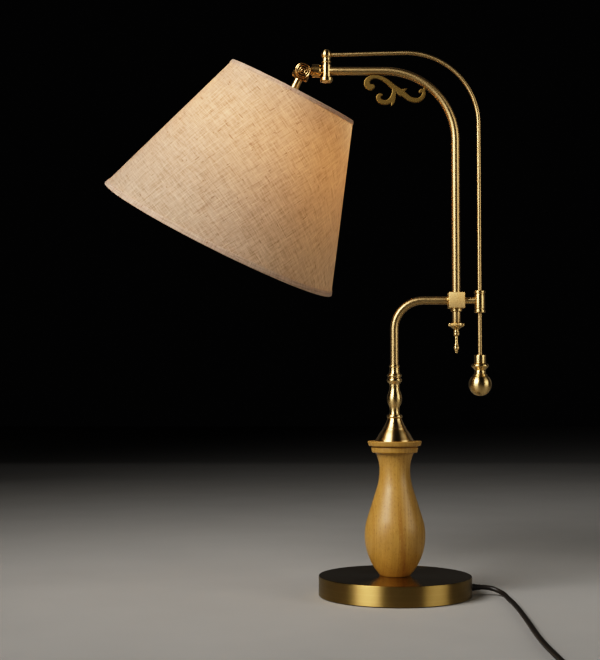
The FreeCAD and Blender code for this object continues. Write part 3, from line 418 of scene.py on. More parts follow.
# --------------------------------------------------------------------------
# Materials
# --------------------------------------------------------------------------
BRASS = (0.80, 0.595, 0.29, 1.0)


def along(t, vector):
    """A direction of the piece's own frame as a shader's tangent."""
    made = t.node("ShaderNodeVectorTransform", {"Vector": vector},
                  vector_type="VECTOR", convert_from="OBJECT",
                  convert_to="WORLD")
    return made.outputs[0]


def brass_turned(name, rough=0.32, lines=0.35, grain=0.25, colour=BRASS,
                 aniso=0.85, polished=None):
    """Brass turned on a lathe: fine rings about the piece's own axis.
    Above the height in polished it is bright, with the roughness there."""
    t = Tree(name)
    x, y, z = t.split(t.object_coords())
    radius = t.math("SQRT", t.math("ADD", t.math("MULTIPLY", x, x),
                                   t.math("MULTIPLY", y, y)))
    rings = t.join(radius, z, 0.0)
    fine = t.noise(rings, 1.0 / (grain * MM), 3.0, 0.6, "2D")
    broad = t.noise(rings, 1.0 / (2.5 * MM), 2.0, 0.5, "2D")
    cloud = t.noise(t.object_coords(), 45.0, 3.0, 0.55)
    spots = t.noise(t.object_coords(), 900.0, 2.0, 0.5)
    tone = t.math("ADD", t.math("MULTIPLY", fine, 0.5),
                  t.math("MULTIPLY", broad, 0.5))
    base = t.mix(t.remap(tone, 0.3, 0.7),
                 (colour[0] * 0.94, colour[1] * 0.92, colour[2] * 0.88, 1.0),
                 (colour[0] * 1.04, colour[1] * 1.04, colour[2] * 1.06, 1.0))
    base = t.mix(t.remap(cloud, 0.42, 0.7, 0.0, 0.30), base,
                 (colour[0] * 0.92, colour[1] * 0.86, colour[2] * 0.76, 1.0))
    height = t.math("ADD", t.math("MULTIPLY", fine, lines),
                    t.math("MULTIPLY", broad, lines * 0.6))
    relief = t.bump(height, 0.20, 0.00005,
                    t.bump(spots, 0.05, 0.00004))
    uneven = t.math("ADD", t.remap(cloud, 0.3, 0.7, rough - 0.01, rough + 0.03),
                    t.remap(fine, 0.3, 0.7, -0.015, 0.015))
    if polished:
        over = t.remap(z, (polished[0] - 0.25) * MM, polished[0] * MM)
        uneven = t.math("ADD", uneven,
                        t.math("MULTIPLY", over, polished[1] - rough))
    around = t.node("ShaderNodeTangent", direction_type="RADIAL", axis="Z")
    t.shader(Base_Color=base, Metallic=1.0, Roughness=uneven,
             Anisotropic=aniso, Anisotropic_Rotation=0.25,
             Tangent=around.outputs[0], Normal=relief)
    return t.mat


def brass_drawn(name, rough=0.40, colour=BRASS, aniso=0.5):
    """Brass tube, drawn and then rubbed round and round."""
    t = Tree(name)
    lay = t.node("ShaderNodeAttribute", attribute_name="lay").outputs["Vector"]
    run = t.node("ShaderNodeAttribute", attribute_name="run").outputs["Vector"]
    x, y, z = t.split(lay)
    broad = t.noise(t.join(x, y, t.math("MULTIPLY", z, 0.12)), 420.0, 2.0)
    cloud = t.noise(lay, 30.0, 3.0, 0.55)
    base = t.mix(t.remap(broad, 0.3, 0.7),
                 (colour[0] * 0.95, colour[1] * 0.93, colour[2] * 0.90, 1.0),
                 (colour[0] * 1.03, colour[1] * 1.03, colour[2] * 1.05, 1.0))
    base = t.mix(t.remap(cloud, 0.42, 0.7, 0.0, 0.30), base,
                 (colour[0] * 0.92, colour[1] * 0.86, colour[2] * 0.76, 1.0))
    uneven = t.remap(cloud, 0.3, 0.7, rough - 0.01, rough + 0.015)
    t.shader(Base_Color=base, Metallic=1.0, Roughness=uneven,
             Anisotropic=aniso, Anisotropic_Rotation=0.0,
             Tangent=along(t, run))
    return t.mat


def brass_cast(name, rough=0.34, colour=BRASS, across=None, spread=None,
               aniso=0.0, dull=0.86, vary=0.04):
    """Cast or milled brass with a fine satin grain.  A direction in spread
    is the one that the grain scatters light along."""
    t = Tree(name)
    place = t.object_coords()
    if across is not None:
        mapped = t.node("ShaderNodeMapping", {"Vector": place})
        mapped.inputs["Scale"].default_value = across
        grain = t.noise(mapped.outputs[0], 2600.0, 3.0, 0.6)
    else:
        grain = t.noise(place, 1500.0, 3.0, 0.6)
    cloud = t.noise(place, 70.0, 3.0, 0.55)
    base = t.mix(t.remap(cloud, 0.35, 0.7),
                 (colour[0] * 1.02, colour[1] * 1.02, colour[2] * 1.02, 1.0),
                 (colour[0] * dull, colour[1] * dull * 0.94,
                  colour[2] * dull * 0.84, 1.0))
    relief = t.bump(grain, 0.15, 0.00004)
    uneven = t.math("ADD", t.remap(cloud, 0.3, 0.7, rough - vary, rough + vary),
                    t.remap(grain, 0.3, 0.7, -vary, vary))
    if spread is None:
        t.shader(Base_Color=base, Metallic=1.0, Roughness=uneven,
                 Normal=relief)
    else:
        t.shader(Base_Color=base, Metallic=1.0, Roughness=uneven,
                 Anisotropic=aniso, Anisotropic_Rotation=0.0,
                 Tangent=along(t, t.join(*spread)), Normal=relief)
    return t.mat


def plain_metal(name, colour, rough):
    t = Tree(name)
    place = t.object_coords()
    grain = t.noise(place, 1800.0, 3.0, 0.6)
    cloud = t.noise(place, 90.0, 3.0, 0.5)
    base = t.mix(t.remap(cloud, 0.35, 0.7), colour,
                 (colour[0] * 0.75, colour[1] * 0.75, colour[2] * 0.78, 1.0))
    t.shader(Base_Color=base, Metallic=1.0,
             Roughness=t.remap(grain, 0.3, 0.7, rough - 0.05, rough + 0.07),
             Normal=t.bump(grain, 0.2, 0.00005))
    return t.mat


def moulded(name, colour, rough=0.42, grain=700.0, depth=0.00004):
    """Moulded plastic: an even colour with a fine spark-eroded texture."""
    t = Tree(name)
    place = t.object_coords()
    pits = t.noise(place, grain, 3.0, 0.6)
    cloud = t.noise(place, 60.0, 2.0, 0.5)
    base = t.mix(t.remap(cloud, 0.3, 0.7), colour,
                 (colour[0] * 0.86 + 0.002, colour[1] * 0.86 + 0.002,
                  colour[2] * 0.86 + 0.002, 1.0))
    t.shader(Base_Color=base,
             Roughness=t.remap(pits, 0.3, 0.7, rough - 0.05, rough + 0.08),
             Normal=t.bump(pits, 0.4, depth))
    return t.mat


def wood():
    """Golden oak, turned and lacquered; the grain runs up the piece."""
    t = Tree("turned_oak")
    place = t.object_coords()
    x, y, z = t.split(place)
    # growth rings about a heart far outside the blank, wandering a little
    drift = t.noise(t.join(x, y, t.math("MULTIPLY", z, 0.25)), 18.0, 2.0, 0.5)
    drift = t.remap(drift, 0.3, 0.7, -0.0016, 0.0016)
    dx = t.math("ADD", t.math("ADD", x, -0.70), drift)
    dy = t.math("ADD", t.math("ADD", y, -0.05),
                t.math("MULTIPLY", z, 0.02))
    reach = t.math("SQRT", t.math("ADD", t.math("MULTIPLY", dx, dx),
                                  t.math("MULTIPLY", dy, dy)))
    rings = t.noise(reach, 420.0, 2.0, 0.55, "1D")
    slow = t.noise(reach, 90.0, 2.0, 0.5, "1D")
    # pores: short dashes along the grain, thicker in the early wood
    stretched = t.node("ShaderNodeMapping", {"Vector": place})
    stretched.inputs["Scale"].default_value = (1.0, 1.0, 0.42)
    dashes = t.noise(stretched.outputs[0], 640.0, 3.0, 0.65)
    stretched2 = t.node("ShaderNodeMapping", {"Vector": place})
    stretched2.inputs["Scale"].default_value = (1.0, 1.0, 0.30)
    flecks = t.noise(stretched2.outputs[0], 900.0, 2.0, 0.55)
    fibre = t.node("ShaderNodeMapping", {"Vector": place})
    fibre.inputs["Scale"].default_value = (1.0, 1.0, 0.03)
    fibres = t.noise(fibre.outputs[0], 1500.0, 2.0, 0.6)
    pore = t.math("MULTIPLY", t.remap(dashes, 0.52, 0.66, 0.0, 1.0, True),
                  t.remap(rings, 0.40, 0.62, 0.35, 1.0, True))
    # one darker streak up the front of the belly
    lean = t.math("ADD", t.math("ADD", x, t.math("MULTIPLY", drift, 1.2)),
                  t.math("MULTIPLY", t.math("ADD", z, -0.07), 0.10))
    off = t.math("ABSOLUTE", t.math("ADD", lean, -0.0070))
    streak = t.math("MULTIPLY", t.remap(off, 0.0004, 0.0060, 1.0, 0.0, True),
                    t.remap(y, -0.010, 0.0, 1.0, 0.0, True))
    streak = t.math("MULTIPLY", streak,
                    t.remap(z, 0.085, 0.125, 1.0, 0.0, True))
    colour = t.mix(t.remap(rings, 0.30, 0.70, 0.0, 1.0, True),
                   rgb(182, 146, 77), rgb(172, 134, 64))
    colour = t.mix(t.remap(slow, 0.40, 0.72, 0.0, 0.32, True), colour,
                   rgb(160, 119, 54))
    colour = t.mix(t.math("MULTIPLY", streak, 0.55), colour,
                   rgb(142, 94, 34))
    colour = t.mix(t.remap(flecks, 0.56, 0.74, 0.0, 0.30, True), colour,
                   rgb(212, 176, 108))
    colour = t.mix(t.remap(fibres, 0.30, 0.75, 0.0, 0.35), colour,
                   rgb(168, 124, 56))
    colour = t.mix(t.math("MULTIPLY", pore, 0.50), colour, rgb(122, 80, 32))
    height = t.math("SUBTRACT", t.math("MULTIPLY", fibres, 0.25),
                    t.math("MULTIPLY", pore, 1.0))
    relief = t.bump(height, 0.4, 0.00008)
    ease = t.bump(height, 0.15, 0.00008)
    t.shader(Base_Color=colour,
             Roughness=t.remap(fibres, 0.3, 0.7, 0.46, 0.54),
             Normal=relief, Specular_IOR_Level=0.45,
             Coat_Weight=0.40, Coat_Roughness=0.30, Coat_Normal=ease)
    return t.mat


def linen(name, share=0.45):
    """Slubby plain weave.  The attribute "lay" holds the place in the flat
    cloth, in metres, with the threads along X and Y.  share is how much of
    the light that meets it goes through."""
    t = Tree(name)
    lay = t.node("ShaderNodeAttribute", attribute_name="lay").outputs["Vector"]
    u, v, _ = t.split(lay)
    pitch = 1.25 * MM
    wander = t.remap(t.noise(t.join(u, v, 0.0), 55.0, 2.0, 0.5, "2D"),
                     0.3, 0.7, -0.5, 0.5)

    def threads(along, across, seed):
        """Thick and thin of one set of threads, and its slubs."""
        line = t.math("MULTIPLY", across, 1.0 / pitch)
        line = t.math("ADD", line, t.math("MULTIPLY", wander, 0.9))
        row = t.math("FLOOR", line)
        inside = t.math("SUBTRACT", line, row)
        round_ = t.math("SINE", t.math("MULTIPLY", inside, math.pi))
        uneven = t.noise(
            t.join(t.math("MULTIPLY", along, 38.0),
                   t.math("ADD", t.math("MULTIPLY", row, 3.77), seed), 0.0),
            1.0, 3.0, 0.65, "2D")
        slub = t.noise(
            t.join(t.math("MULTIPLY", along, 60.0),
                   t.math("ADD", t.math("MULTIPLY", row, 7.31), seed + 31.0),
                   0.0),
            1.0, 2.0, 0.5, "2D")
        return round_, uneven, slub

    warp, warp_tone, warp_slub = threads(u, v, 3.1)
    weft, weft_tone, weft_slub = threads(v, u, 57.7)
    over = t.math("MULTIPLY",
                  t.math("SINE", t.math("MULTIPLY", u, math.pi / pitch)),
                  t.math("SINE", t.math("MULTIPLY", v, math.pi / pitch)))
    # runs of thicker thread, long one way and narrow the other
    long_warp = t.noise(t.join(t.math("MULTIPLY", u, 34.0),
                               t.math("MULTIPLY", v, 700.0), 0.0),
                        1.0, 2.0, 0.6, "2D")
    long_weft = t.noise(t.join(t.math("MULTIPLY", u, 700.0),
                               t.math("MULTIPLY", v, 34.0), 4.0),
                        1.0, 2.0, 0.6, "2D")
    tone = t.math("ADD", t.math("MULTIPLY", t.math("ADD", warp_tone,
                                                   weft_tone), 0.30),
                  t.math("MULTIPLY", t.math("ADD", long_warp, long_weft),
                         0.20))
    gap = t.math("MULTIPLY", warp, weft)
    height = t.math("ADD", t.math("ADD", warp, weft),
                    t.math("MULTIPLY", over, 0.25))
    patch = t.noise(lay, 26.0, 3.0, 0.6)
    colour = t.ramp(t.remap(tone, 0.37, 0.63),
                    [(0.0, rgb(168, 146, 124)), (0.42, rgb(208, 188, 168)),
                     (1.0, rgb(227, 209, 192))])
    colour = t.mix(t.remap(patch, 0.35, 0.70, 0.0, 0.30), colour,
                   rgb(199, 180, 160))
    dark = t.math("MAXIMUM",
                  t.remap(warp_slub, 0.72, 0.80, 0.0, 1.0, True),
                  t.remap(weft_slub, 0.72, 0.80, 0.0, 1.0, True))
    colour = t.mix(t.math("MULTIPLY", dark, 0.55), colour,
                   rgb(136, 98, 64))
    pale = t.math("MAXIMUM",
                  t.remap(warp_tone, 0.66, 0.76, 0.0, 1.0, True),
                  t.remap(weft_tone, 0.66, 0.76, 0.0, 1.0, True))
    colour = t.mix(t.math("MULTIPLY", pale, 0.4), colour, rgb(246, 232, 208))
    colour = t.mix(t.remap(gap, 0.0, 0.22, 0.34, 0.0, True), colour,
                   rgb(150, 116, 82))
    relief = t.bump(t.math("ADD", height, t.math("MULTIPLY", dark, 1.2)),
                    0.5, 0.00016)
    face = t.shader(Base_Color=colour, Roughness=0.85, Sheen_Weight=0.35,
                    Sheen_Roughness=0.45, Specular_IOR_Level=0.15,
                    Normal=relief)
    through = t.mix(t.math("MULTIPLY", dark, 0.5), rgb(255, 221, 166),
                    rgb(160, 100, 50))
    through = t.mix(t.remap(tone, 0.38, 0.58, 0.60, 0.0), through,
                    rgb(200, 142, 80))
    through = t.mix(t.remap(gap, 0.0, 0.22, 0.45, 0.0, True), through,
                    rgb(255, 244, 220))
    soft = t.node("ShaderNodeBsdfTranslucent",
                  {"Color": through, "Normal": relief})
    both = t.node("ShaderNodeMixShader", {0: share})
    t.link(face.outputs[0], both.inputs[1])
    t.link(soft.outputs[0], both.inputs[2])
    t.link(both.outputs[0], t.out.inputs[0])
    return t.mat


def bulb_glass():
    """Pearl glass, brighter over the filament, which sits high up."""
    t = Tree("bulb_pearl")
    place = t.object_coords()
    z = t.split(place)[2]
    cloud = t.noise(place, 40.0, 2.0, 0.5)
    high = t.remap(z, 0.098, 0.142, 0.0, 1.0, True)
    t.shader(Base_Color=rgb(246, 240, 228), Roughness=0.35,
             Emission_Color=t.mix(high, t.mix(t.remap(cloud, 0.3, 0.7),
                                              (1.0, 0.62, 0.27, 1.0),
                                              (1.0, 0.64, 0.30, 1.0)),
                                  (0.21, 0.125, 0.055, 1.0)),
             Emission_Strength=11.3)
    return t.mat


def enamel(name, colour, rough=0.3):
    t = Tree(name)
    place = t.object_coords()
    peel = t.noise(place, 420.0, 2.0, 0.5)
    cloud = t.noise(place, 60.0, 3.0, 0.5)
    t.shader(Base_Color=t.mix(t.remap(cloud, 0.35, 0.7), colour,
                              (colour[0] * 0.9, colour[1] * 0.88,
                               colour[2] * 0.84, 1.0)),
             Roughness=t.remap(peel, 0.3, 0.7, rough - 0.04, rough + 0.06),
             Normal=t.bump(peel, 0.3, 0.00006), Coat_Weight=0.3,
             Coat_Roughness=0.2)
    return t.mat


def felt():
    t = Tree("green_felt")
    place = t.object_coords()
    fuzz = t.noise(place, 1400.0, 4.0, 0.7)
    cloud = t.noise(place, 120.0, 3.0, 0.5)
    t.shader(Base_Color=t.mix(t.remap(fuzz, 0.3, 0.7), rgb(28, 30, 28),
                              rgb(58, 62, 56)),
             Roughness=0.95, Sheen_Weight=0.4,
             Normal=t.bump(t.math("ADD", fuzz, cloud), 0.8, 0.0002))
    return t.mat


def cord_cover():
    """Smooth dark PVC with a faint flow texture along it."""
    t = Tree("cord_pvc")
    place = t.object_coords()
    fine = t.noise(place, 900.0, 3.0, 0.6)
    cloud = t.noise(place, 24.0, 3.0, 0.5)
    t.shader(Base_Color=t.mix(t.remap(cloud, 0.3, 0.7), rgb(30, 25, 21),
                              rgb(44, 37, 31)),
             Roughness=t.remap(fine, 0.3, 0.7, 0.36, 0.48),
             Specular_IOR_Level=0.5, Normal=t.bump(fine, 0.3, 0.00006))
    return t.mat


# The brass pieces are all one alloy. Every brass material below except the
# milled block's is a darker copy of BRASS: painted shade, set piece by piece to
# how bright that piece shows.
M = {
    # painted shade: a darker copy of BRASS
    "turned": brass_turned("brass_turned", colour=(0.70, 0.52, 0.25, 1.0)),
    # painted shade: a much darker copy of BRASS
    "base": brass_turned("brass_brushed_base", rough=0.40, lines=0.5,
                         grain=1.10, colour=(0.45, 0.320, 0.120, 1.0),
                         aniso=1.0, polished=(24.0, 0.12)),
    # painted shade: a darker copy of BRASS
    "bell": brass_turned("brass_bell", colour=(0.70, 0.51, 0.25, 1.0)),
    # painted shade: a darker copy of BRASS
    "knob": brass_turned("brass_knob", rough=0.20, lines=0.25, aniso=0.0,
                         colour=(0.50, 0.33, 0.15, 1.0)),
    # painted shade: a darker copy of BRASS
    "tube": brass_drawn("brass_drawn", colour=(0.53, 0.385, 0.190, 1.0)),
    # painted shade: the darkest copy of BRASS
    "cast": brass_cast("brass_cast", 0.56,
                       (BRASS[0] * 0.32, BRASS[1] * 0.295, BRASS[2] * 0.21,
                        1.0)),
    # painted shade: a darker copy of BRASS
    "joint": brass_cast("brass_joint", 0.30,
                        (BRASS[0] * 0.88, BRASS[1] * 0.80, BRASS[2] * 0.70,
                         1.0), vary=0.012),
    "block": brass_cast("brass_milled", 0.58, BRASS, (1.0, 1.0, 0.04),
                        (1.0, 0.0, 0.0), 0.5, 0.94),
    "wood": wood(),
    "linen": linen("linen_cloth"),
    "hem": linen("linen_hem", 0.34),
    "bulb": bulb_glass(),
    "white": enamel("white_enamel", rgb(236, 232, 222)),
    "holder": moulded("holder_phenolic", rgb(38, 34, 31), 0.35),
    "shade_nut": moulded("shade_nut_phenolic", rgb(44, 39, 35), 0.38),
    "cap": plain_metal("nickel_cap", (0.62, 0.60, 0.57, 1.0), 0.28),
    "steel": plain_metal("zinc_steel", (0.56, 0.57, 0.58, 1.0), 0.34),
    "iron": moulded("cast_iron", rgb(58, 56, 54), 0.7, 350.0, 0.0002),
    "plate": moulded("plate_paint", rgb(40, 38, 36), 0.5),
    "felt": felt(),
    "nylon": moulded("nylon_washer", rgb(224, 218, 200), 0.45),
    "relief": moulded("relief_rubber", rgb(34, 29, 25), 0.5),
    "cord": cord_cover(),
    "case": moulded("switch_case", rgb(36, 31, 27), 0.4),
    "rocker": moulded("switch_rocker_cap", rgb(52, 46, 40), 0.3),
    "wire": moulded("wire_sheath", rgb(214, 208, 190), 0.4),
    "magnet": plain_metal("magnet_nickel", (0.50, 0.50, 0.50, 1.0), 0.3),
}

# --------------------------------------------------------------------------
# Cord
# --------------------------------------------------------------------------
ROUTE = [(100.0, 0.0, 10.0), (107.0, 0.0, 10.0), (115.2, -2.2, 8.7),
         (121.4, -7.4, 6.5), (125.6, -14.8, 4.5), (127.3, -23.4, 3.2),
         (127.2, -38.0, 2.75), (127.9, -66.0, 2.75), (127.4, -104.0, 2.75),
         (125.5, -150.0, 2.75), (123.2, -200.0, 2.75), (120.3, -250.0, 2.75),
         (118.6, -300.0, 2.75), (118.9, -350.0, 2.75), (120.0, -398.0, 2.75),
         (119.2, -438.0, 3.4), (117.4, -462.0, 6.8), (117.0, -477.0, 8.0),
         (117.0, -490.0, 8.0)]
TAIL = [(117.0, -550.0, 8.0), (117.0, -558.0, 8.0), (114.4, -567.0, 6.3),
        (108.4, -575.4, 4.2), (99.6, -581.8, 3.0), (88.6, -585.4, 2.75),
        (75.0, -586.9, 2.75), (60.0, -586.5, 2.75), (48.0, -586.5, 2.75)]
COIL = (40.0, -548.0)


def coil_points():
    """Two layers of turns, laid clockwise: inward on the table and then
    outward on top of them."""
    points = []
    per = 14
    turns = 5.25
    for k in range(int(turns * per) + 1):
        t = k / per
        if t <= 2.5:
            radius = 38.6 + (24.85 - 38.6) * t / 2.5
            height = 2.75
        elif t <= 3.0:
            radius = 24.85
            height = 2.75 + 5.5 * (t - 2.5) / 0.5
        else:
            radius = 24.85 + (37.2 - 24.85) * (t - 3.0) / 2.25
            height = 8.25
        angle = math.radians(-90.0) - 2 * math.pi * t
        points.append((COIL[0] + radius * math.cos(angle),
                       COIL[1] + radius * math.sin(angle), height))
    return points


LAST = [(3.5, -536.0, 8.0), (2.8, -524.0, 7.0), (2.8, -512.0, 7.0)]


def lay_cord():
    line = bpy.data.curves.new("power_cord_line", "CURVE")
    line.dimensions = "3D"
    line.bevel_depth = 2.75 * MM
    line.bevel_resolution = 6
    line.resolution_u = 8
    line.use_fill_caps = True
    points = ROUTE + TAIL + coil_points() + LAST
    spline = line.splines.new("NURBS")
    spline.points.add(len(points) - 1)
    for point, (x, y, z) in zip(spline.points, points):
        point.co = (x * MM, y * MM, z * MM, 1.0)
    spline.order_u = 3
    spline.use_endpoint_u = True
    line.materials.append(M["cord"])
    obj = bpy.data.objects.new("power_cord_line", line)
    bpy.context.scene.collection.objects.link(obj)
    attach(obj, "stand")
    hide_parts("power_cord", "cord_tail", "cord_end", "cord_coil")
    return obj


lay_cord()

# --------------------------------------------------------------------------
# Base and column
# --------------------------------------------------------------------------
take(lathe("base_drum", [
    (88.8, 1.0), (89.6, 1.0, 0.4), (90.0, 1.4), (90.0, 23.2, 0.8),
    (89.2, 24.0), (5.2, 24.0), (5.2, 22.8), (88.8, 22.8)],
    M["base"], "stand", soft=0.12, around=288), "base_cover")
take(lathe("wood_turning", [
    (17.4, 24.0, 69.5), (35.7, 71.0, 65.8), (32.6, 91.0),
    (21.2, 127.0, -66.9), (18.2, 148.0, -42.4), (22.6, 167.6),
    (26.2, 168.2), (27.0, 169.0), (27.9, 174.2), (26.4, 174.9),
    (26.4, 175.5), (30.6, 176.2), (31.2, 178.0), (32.0, 181.2),
    (31.6, 181.8), (5.3, 181.8), (5.3, 24.0)],
    M["wood"], "stand", soft=0.7, around=224, step=2.0), "wood_body")
take(lathe("bell_turning", [
    (21.6, 181.8), (23.2, 181.8), (22.8, 183.2), (20.7, 186.3, 36.0),
    (14.9, 195.2), (14.4, 196.0), (14.4, 197.0), (13.8, 197.4, -60.0),
    (9.0, 207.0), (8.6, 208.6), (5.2, 208.6), (5.2, 206.6),
    (7.9, 206.6), (10.2, 201.9), (12.2, 198.0), (13.2, 195.6),
    (16.2, 191.0), (19.2, 186.2), (21.2, 183.4)],
    M["bell"], "stand", soft=0.3),
    "bell_cap")
take(lathe("bell_bead", [
    (5.2, 208.6), (8.3, 208.6, 2.6), (8.3, 213.0), (5.2, 213.0)],
    M["turned"], "stand", soft=0.2), "bell_ring")
take(lathe("baluster_turning", [
    (5.2, 213.0), (6.9, 213.0), (6.0, 214.9),
    (5.8, 217.5), (5.9, 220.4, -10.0), (7.0, 223.6), (8.3, 226.8, 17.0),
    (8.3, 236.8), (7.0, 240.4, -12.0), (6.1, 245.2), (6.2, 248.9),
    (8.0, 251.4, 2.9), (8.0, 256.0), (7.8, 256.4),
    (5.2, 256.4), (5.2, 234.6), (6.1, 234.6), (6.1, 233.0), (5.2, 233.0)],
    M["turned"], "stand", soft=0.5), "baluster")

# --------------------------------------------------------------------------
# Swivel and short arm
# --------------------------------------------------------------------------
take(lathe("swivel_collar_turning", [
    (5.15, 257.7), (7.7, 257.7, 1.75), (7.7, 261.0), (7.0, 261.2, -18.0),
    (5.8, 266.5), (5.8, 268.8), (5.9, 269.1, 1.3), (5.9, 271.4),
    (5.5, 272.2), (5.0, 272.4), (5.0, 262.0), (5.15, 262.0)],
    M["turned"], "swing_arm", soft=0.3), "swivel_collar")
take(tube("elbow_bent", [
    (0, 262.0), (0, 313.6, -35.0), (35.0, 348.6), (66.5, 348.6)],
    5.0, M["tube"], "swing_arm", bore=4.0), "elbow_tube")
take(lathe("inlet_ferrule_ring", [
    (5.0, 0), (5.7, 0), (6.0, 0.3), (6.0, 1.5), (5.0, 1.5)],
    M["turned"], "swing_arm", moved(62.8, 0, 348.6, TO_X)), "inlet_ferrule")
take(lathe("bush_turning", [
    (5.05, 335.4), (6.5, 335.4), (6.9, 335.8), (6.9, 339.1),
    (6.5, 339.1), (6.5, 358.1), (5.05, 358.1)],
    M["turned"], "swing_arm", moved(73.8)), "block_bush")
take(lathe("stub_bar", [(0, 0), (4.0, 0), (4.0, 15.0), (0, 15.0)],
           M["turned"], "swing_arm", moved(81.4, 0, 348.6, TO_X)),
     "guide_stub")
take(lathe("sleeve_turning", [
    (2.55, 333.9), (6.3, 333.9), (6.7, 334.3), (6.7, 336.6),
    (6.3, 337.0), (5.9, 337.2), (5.9, 338.4), (6.3, 338.9), (6.3, 355.1),
    (5.9, 355.6), (5.9, 356.8), (6.5, 357.0), (6.8, 357.4), (6.8, 359.6),
    (6.3, 360.1), (2.55, 360.1)], M["turned"], "swing_arm", moved(101.7)),
    "guide_sleeve", "guide_magnet")


def milled_block():
    """The square block with its vertical bore, edges eased."""
    work = bmesh.new()
    bmesh.ops.create_cube(work, size=19.0 * MM)
    bmesh.ops.bevel(work, geom=list(work.edges), offset=0.8 * MM, segments=4,
                    profile=0.5, affect="EDGES")
    mesh = bpy.data.meshes.new("arm_block_milled")
    work.to_mesh(mesh)
    work.free()
    mesh.shade_smooth()
    mesh.set_sharp_from_angle(angle=math.radians(40))
    mesh.materials.append(M["block"])
    obj = bpy.data.objects.new("arm_block_milled", mesh)
    bpy.context.scene.collection.objects.link(obj)
    obj.matrix_world = moved(73.8, 0, 348.6)
    drill = lathe("arm_block_drill", [(0, -20.0), (6.5, -20.0), (6.5, 20.0),
                                      (0, 20.0)], M["block"], None,
                  moved(73.8, 0, 348.6))
    cut = obj.modifiers.new("bore", "BOOLEAN")
    cut.operation = "DIFFERENCE"
    cut.object = drill
    cut.solver = "EXACT"
    bpy.context.view_layer.update()
    done = bpy.data.meshes.new_from_object(
        obj.evaluated_get(bpy.context.evaluated_depsgraph_get()))
    obj.modifiers.clear()
    obj.data = done
    bpy.data.objects.remove(drill)
    done.set_sharp_from_angle(angle=math.radians(40))
    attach(obj, "swing_arm")
    return obj


take(milled_block(), "arm_block")

# --------------------------------------------------------------------------
# Sliding arm
# --------------------------------------------------------------------------
take(tube("boom_bent", [
    (73.8, 321.7), (73.8, 540.4, 83.8), (-10.0, 624.2), (-77.0, 624.2)],
    5.0, M["tube"], "lift_arm", bore=4.0), "main_tube")
slope = math.radians(91.5)
take(tube("rod_bent", [
    (101.7, 265.0), (101.7, 560.0, 86.3),
    (15.4 + 86.3 * math.cos(slope), 560.0 + 86.3 * math.sin(slope)),
    (-78.0, 643.863)], 2.5, M["tube"], "lift_arm", around=36), "balance_rod")
take(lathe("post_turning", [
    (0, 616.6), (5.6, 616.6), (5.6, 631.2), (5.0, 632.4), (4.8, 633.5),
    (5.0, 633.9, 1.6), (5.0, 636.6), (4.8, 637.3), (4.8, 639.6),
    (on_ball(6.4, 644.1, 640.4), 640.4, 6.4), (0, 650.5)],
    M["turned"], "lift_arm", moved(-80.4)), "front_post")
take(lathe("post_foot_turning", [
    (0, 610.9), (5.9, 610.9, 1.8), (7.7, 612.7), (7.7, 615.2, 1.4),
    (6.3, 616.6), (0, 616.6)], M["turned"], "lift_arm", moved(-80.4)),
    "post_foot")


def knurl(radius, height, angle):
    """Beads round the rim, with narrow notches between them."""
    if radius < 8.5 or not 317.2 < height < 321.4:
        return radius
    dip = abs(math.cos(angle * 20)) ** 5
    return radius - 0.62 * dip * min(1.0, (radius - 8.5) / 0.6)


take(lathe("knurled_ring_turning", [
    (0, 317.0), (7.9, 317.0), (9.4, 318.0), (9.4, 320.4), (8.6, 321.2),
    (6.4, 321.7), (3.9, 321.7), (3.9, 325.7), (0, 325.7)],
    M["turned"], "lift_arm", moved(73.8), soft=0.5, around=480, wave=knurl),
    "knurled_ring")
take(lathe("finial_turning", [
    (0, 285.4), (0.8, 285.7), (1.5, 286.2), (1.4, 287.2), (1.9, 287.9),
    (2.0, 288.7), (2.0, 289.3), (2.9, 290.0, 4.1), (2.9, 294.0), (2.4, 294.6),
    (2.9, 295.3), (2.8, 296.1), (2.0, 297.8), (1.9, 301.6), (1.8, 302.4),
    (2.2, 303.2), (2.2, 304.1), (1.8, 305.2), (2.0, 306.2), (3.4, 307.0),
    (3.9, 307.9), (3.8, 308.9), (3.3, 309.6), (3.4, 310.2), (3.7, 310.9),
    (3.5, 311.9), (2.8, 312.8), (2.7, 313.6), (7.2, 317.0), (0, 317.0)],
    M["turned"], "lift_arm", moved(73.8), soft=0.4, around=96), "finial")
take(lathe("weight_collar_turning", [
    (2.5, 273.4), (6.8, 273.4), (7.0, 273.7), (7.0, 283.4),
    (6.5, 283.9), (2.5, 283.9)], M["turned"], "lift_arm", moved(101.7)),
    "weight_collar")
take(lathe("counterweight_turning", [
    (0, 234.9, 13.8), (on_ball(13.8, 248.7, 257.9), 257.9), (8.5, 258.5),
    (8.3, 259.0), (8.8, 259.5), (8.7, 260.3), (7.4, 261.0), (6.9, 261.7),
    (7.0, 262.9), (6.7, 264.1), (6.3, 265.2), (6.5, 265.9), (7.6, 266.9),
    (8.4, 268.0), (9.3, 268.7), (10.0, 269.5, 1.9), (10.0, 272.2),
    (9.4, 272.9), (8.7, 273.4), (2.5, 273.4), (2.5, 265.0), (0, 265.0)],
    M["turned"], "lift_arm", moved(101.7), around=160, step=4.0),
    "counterweight")

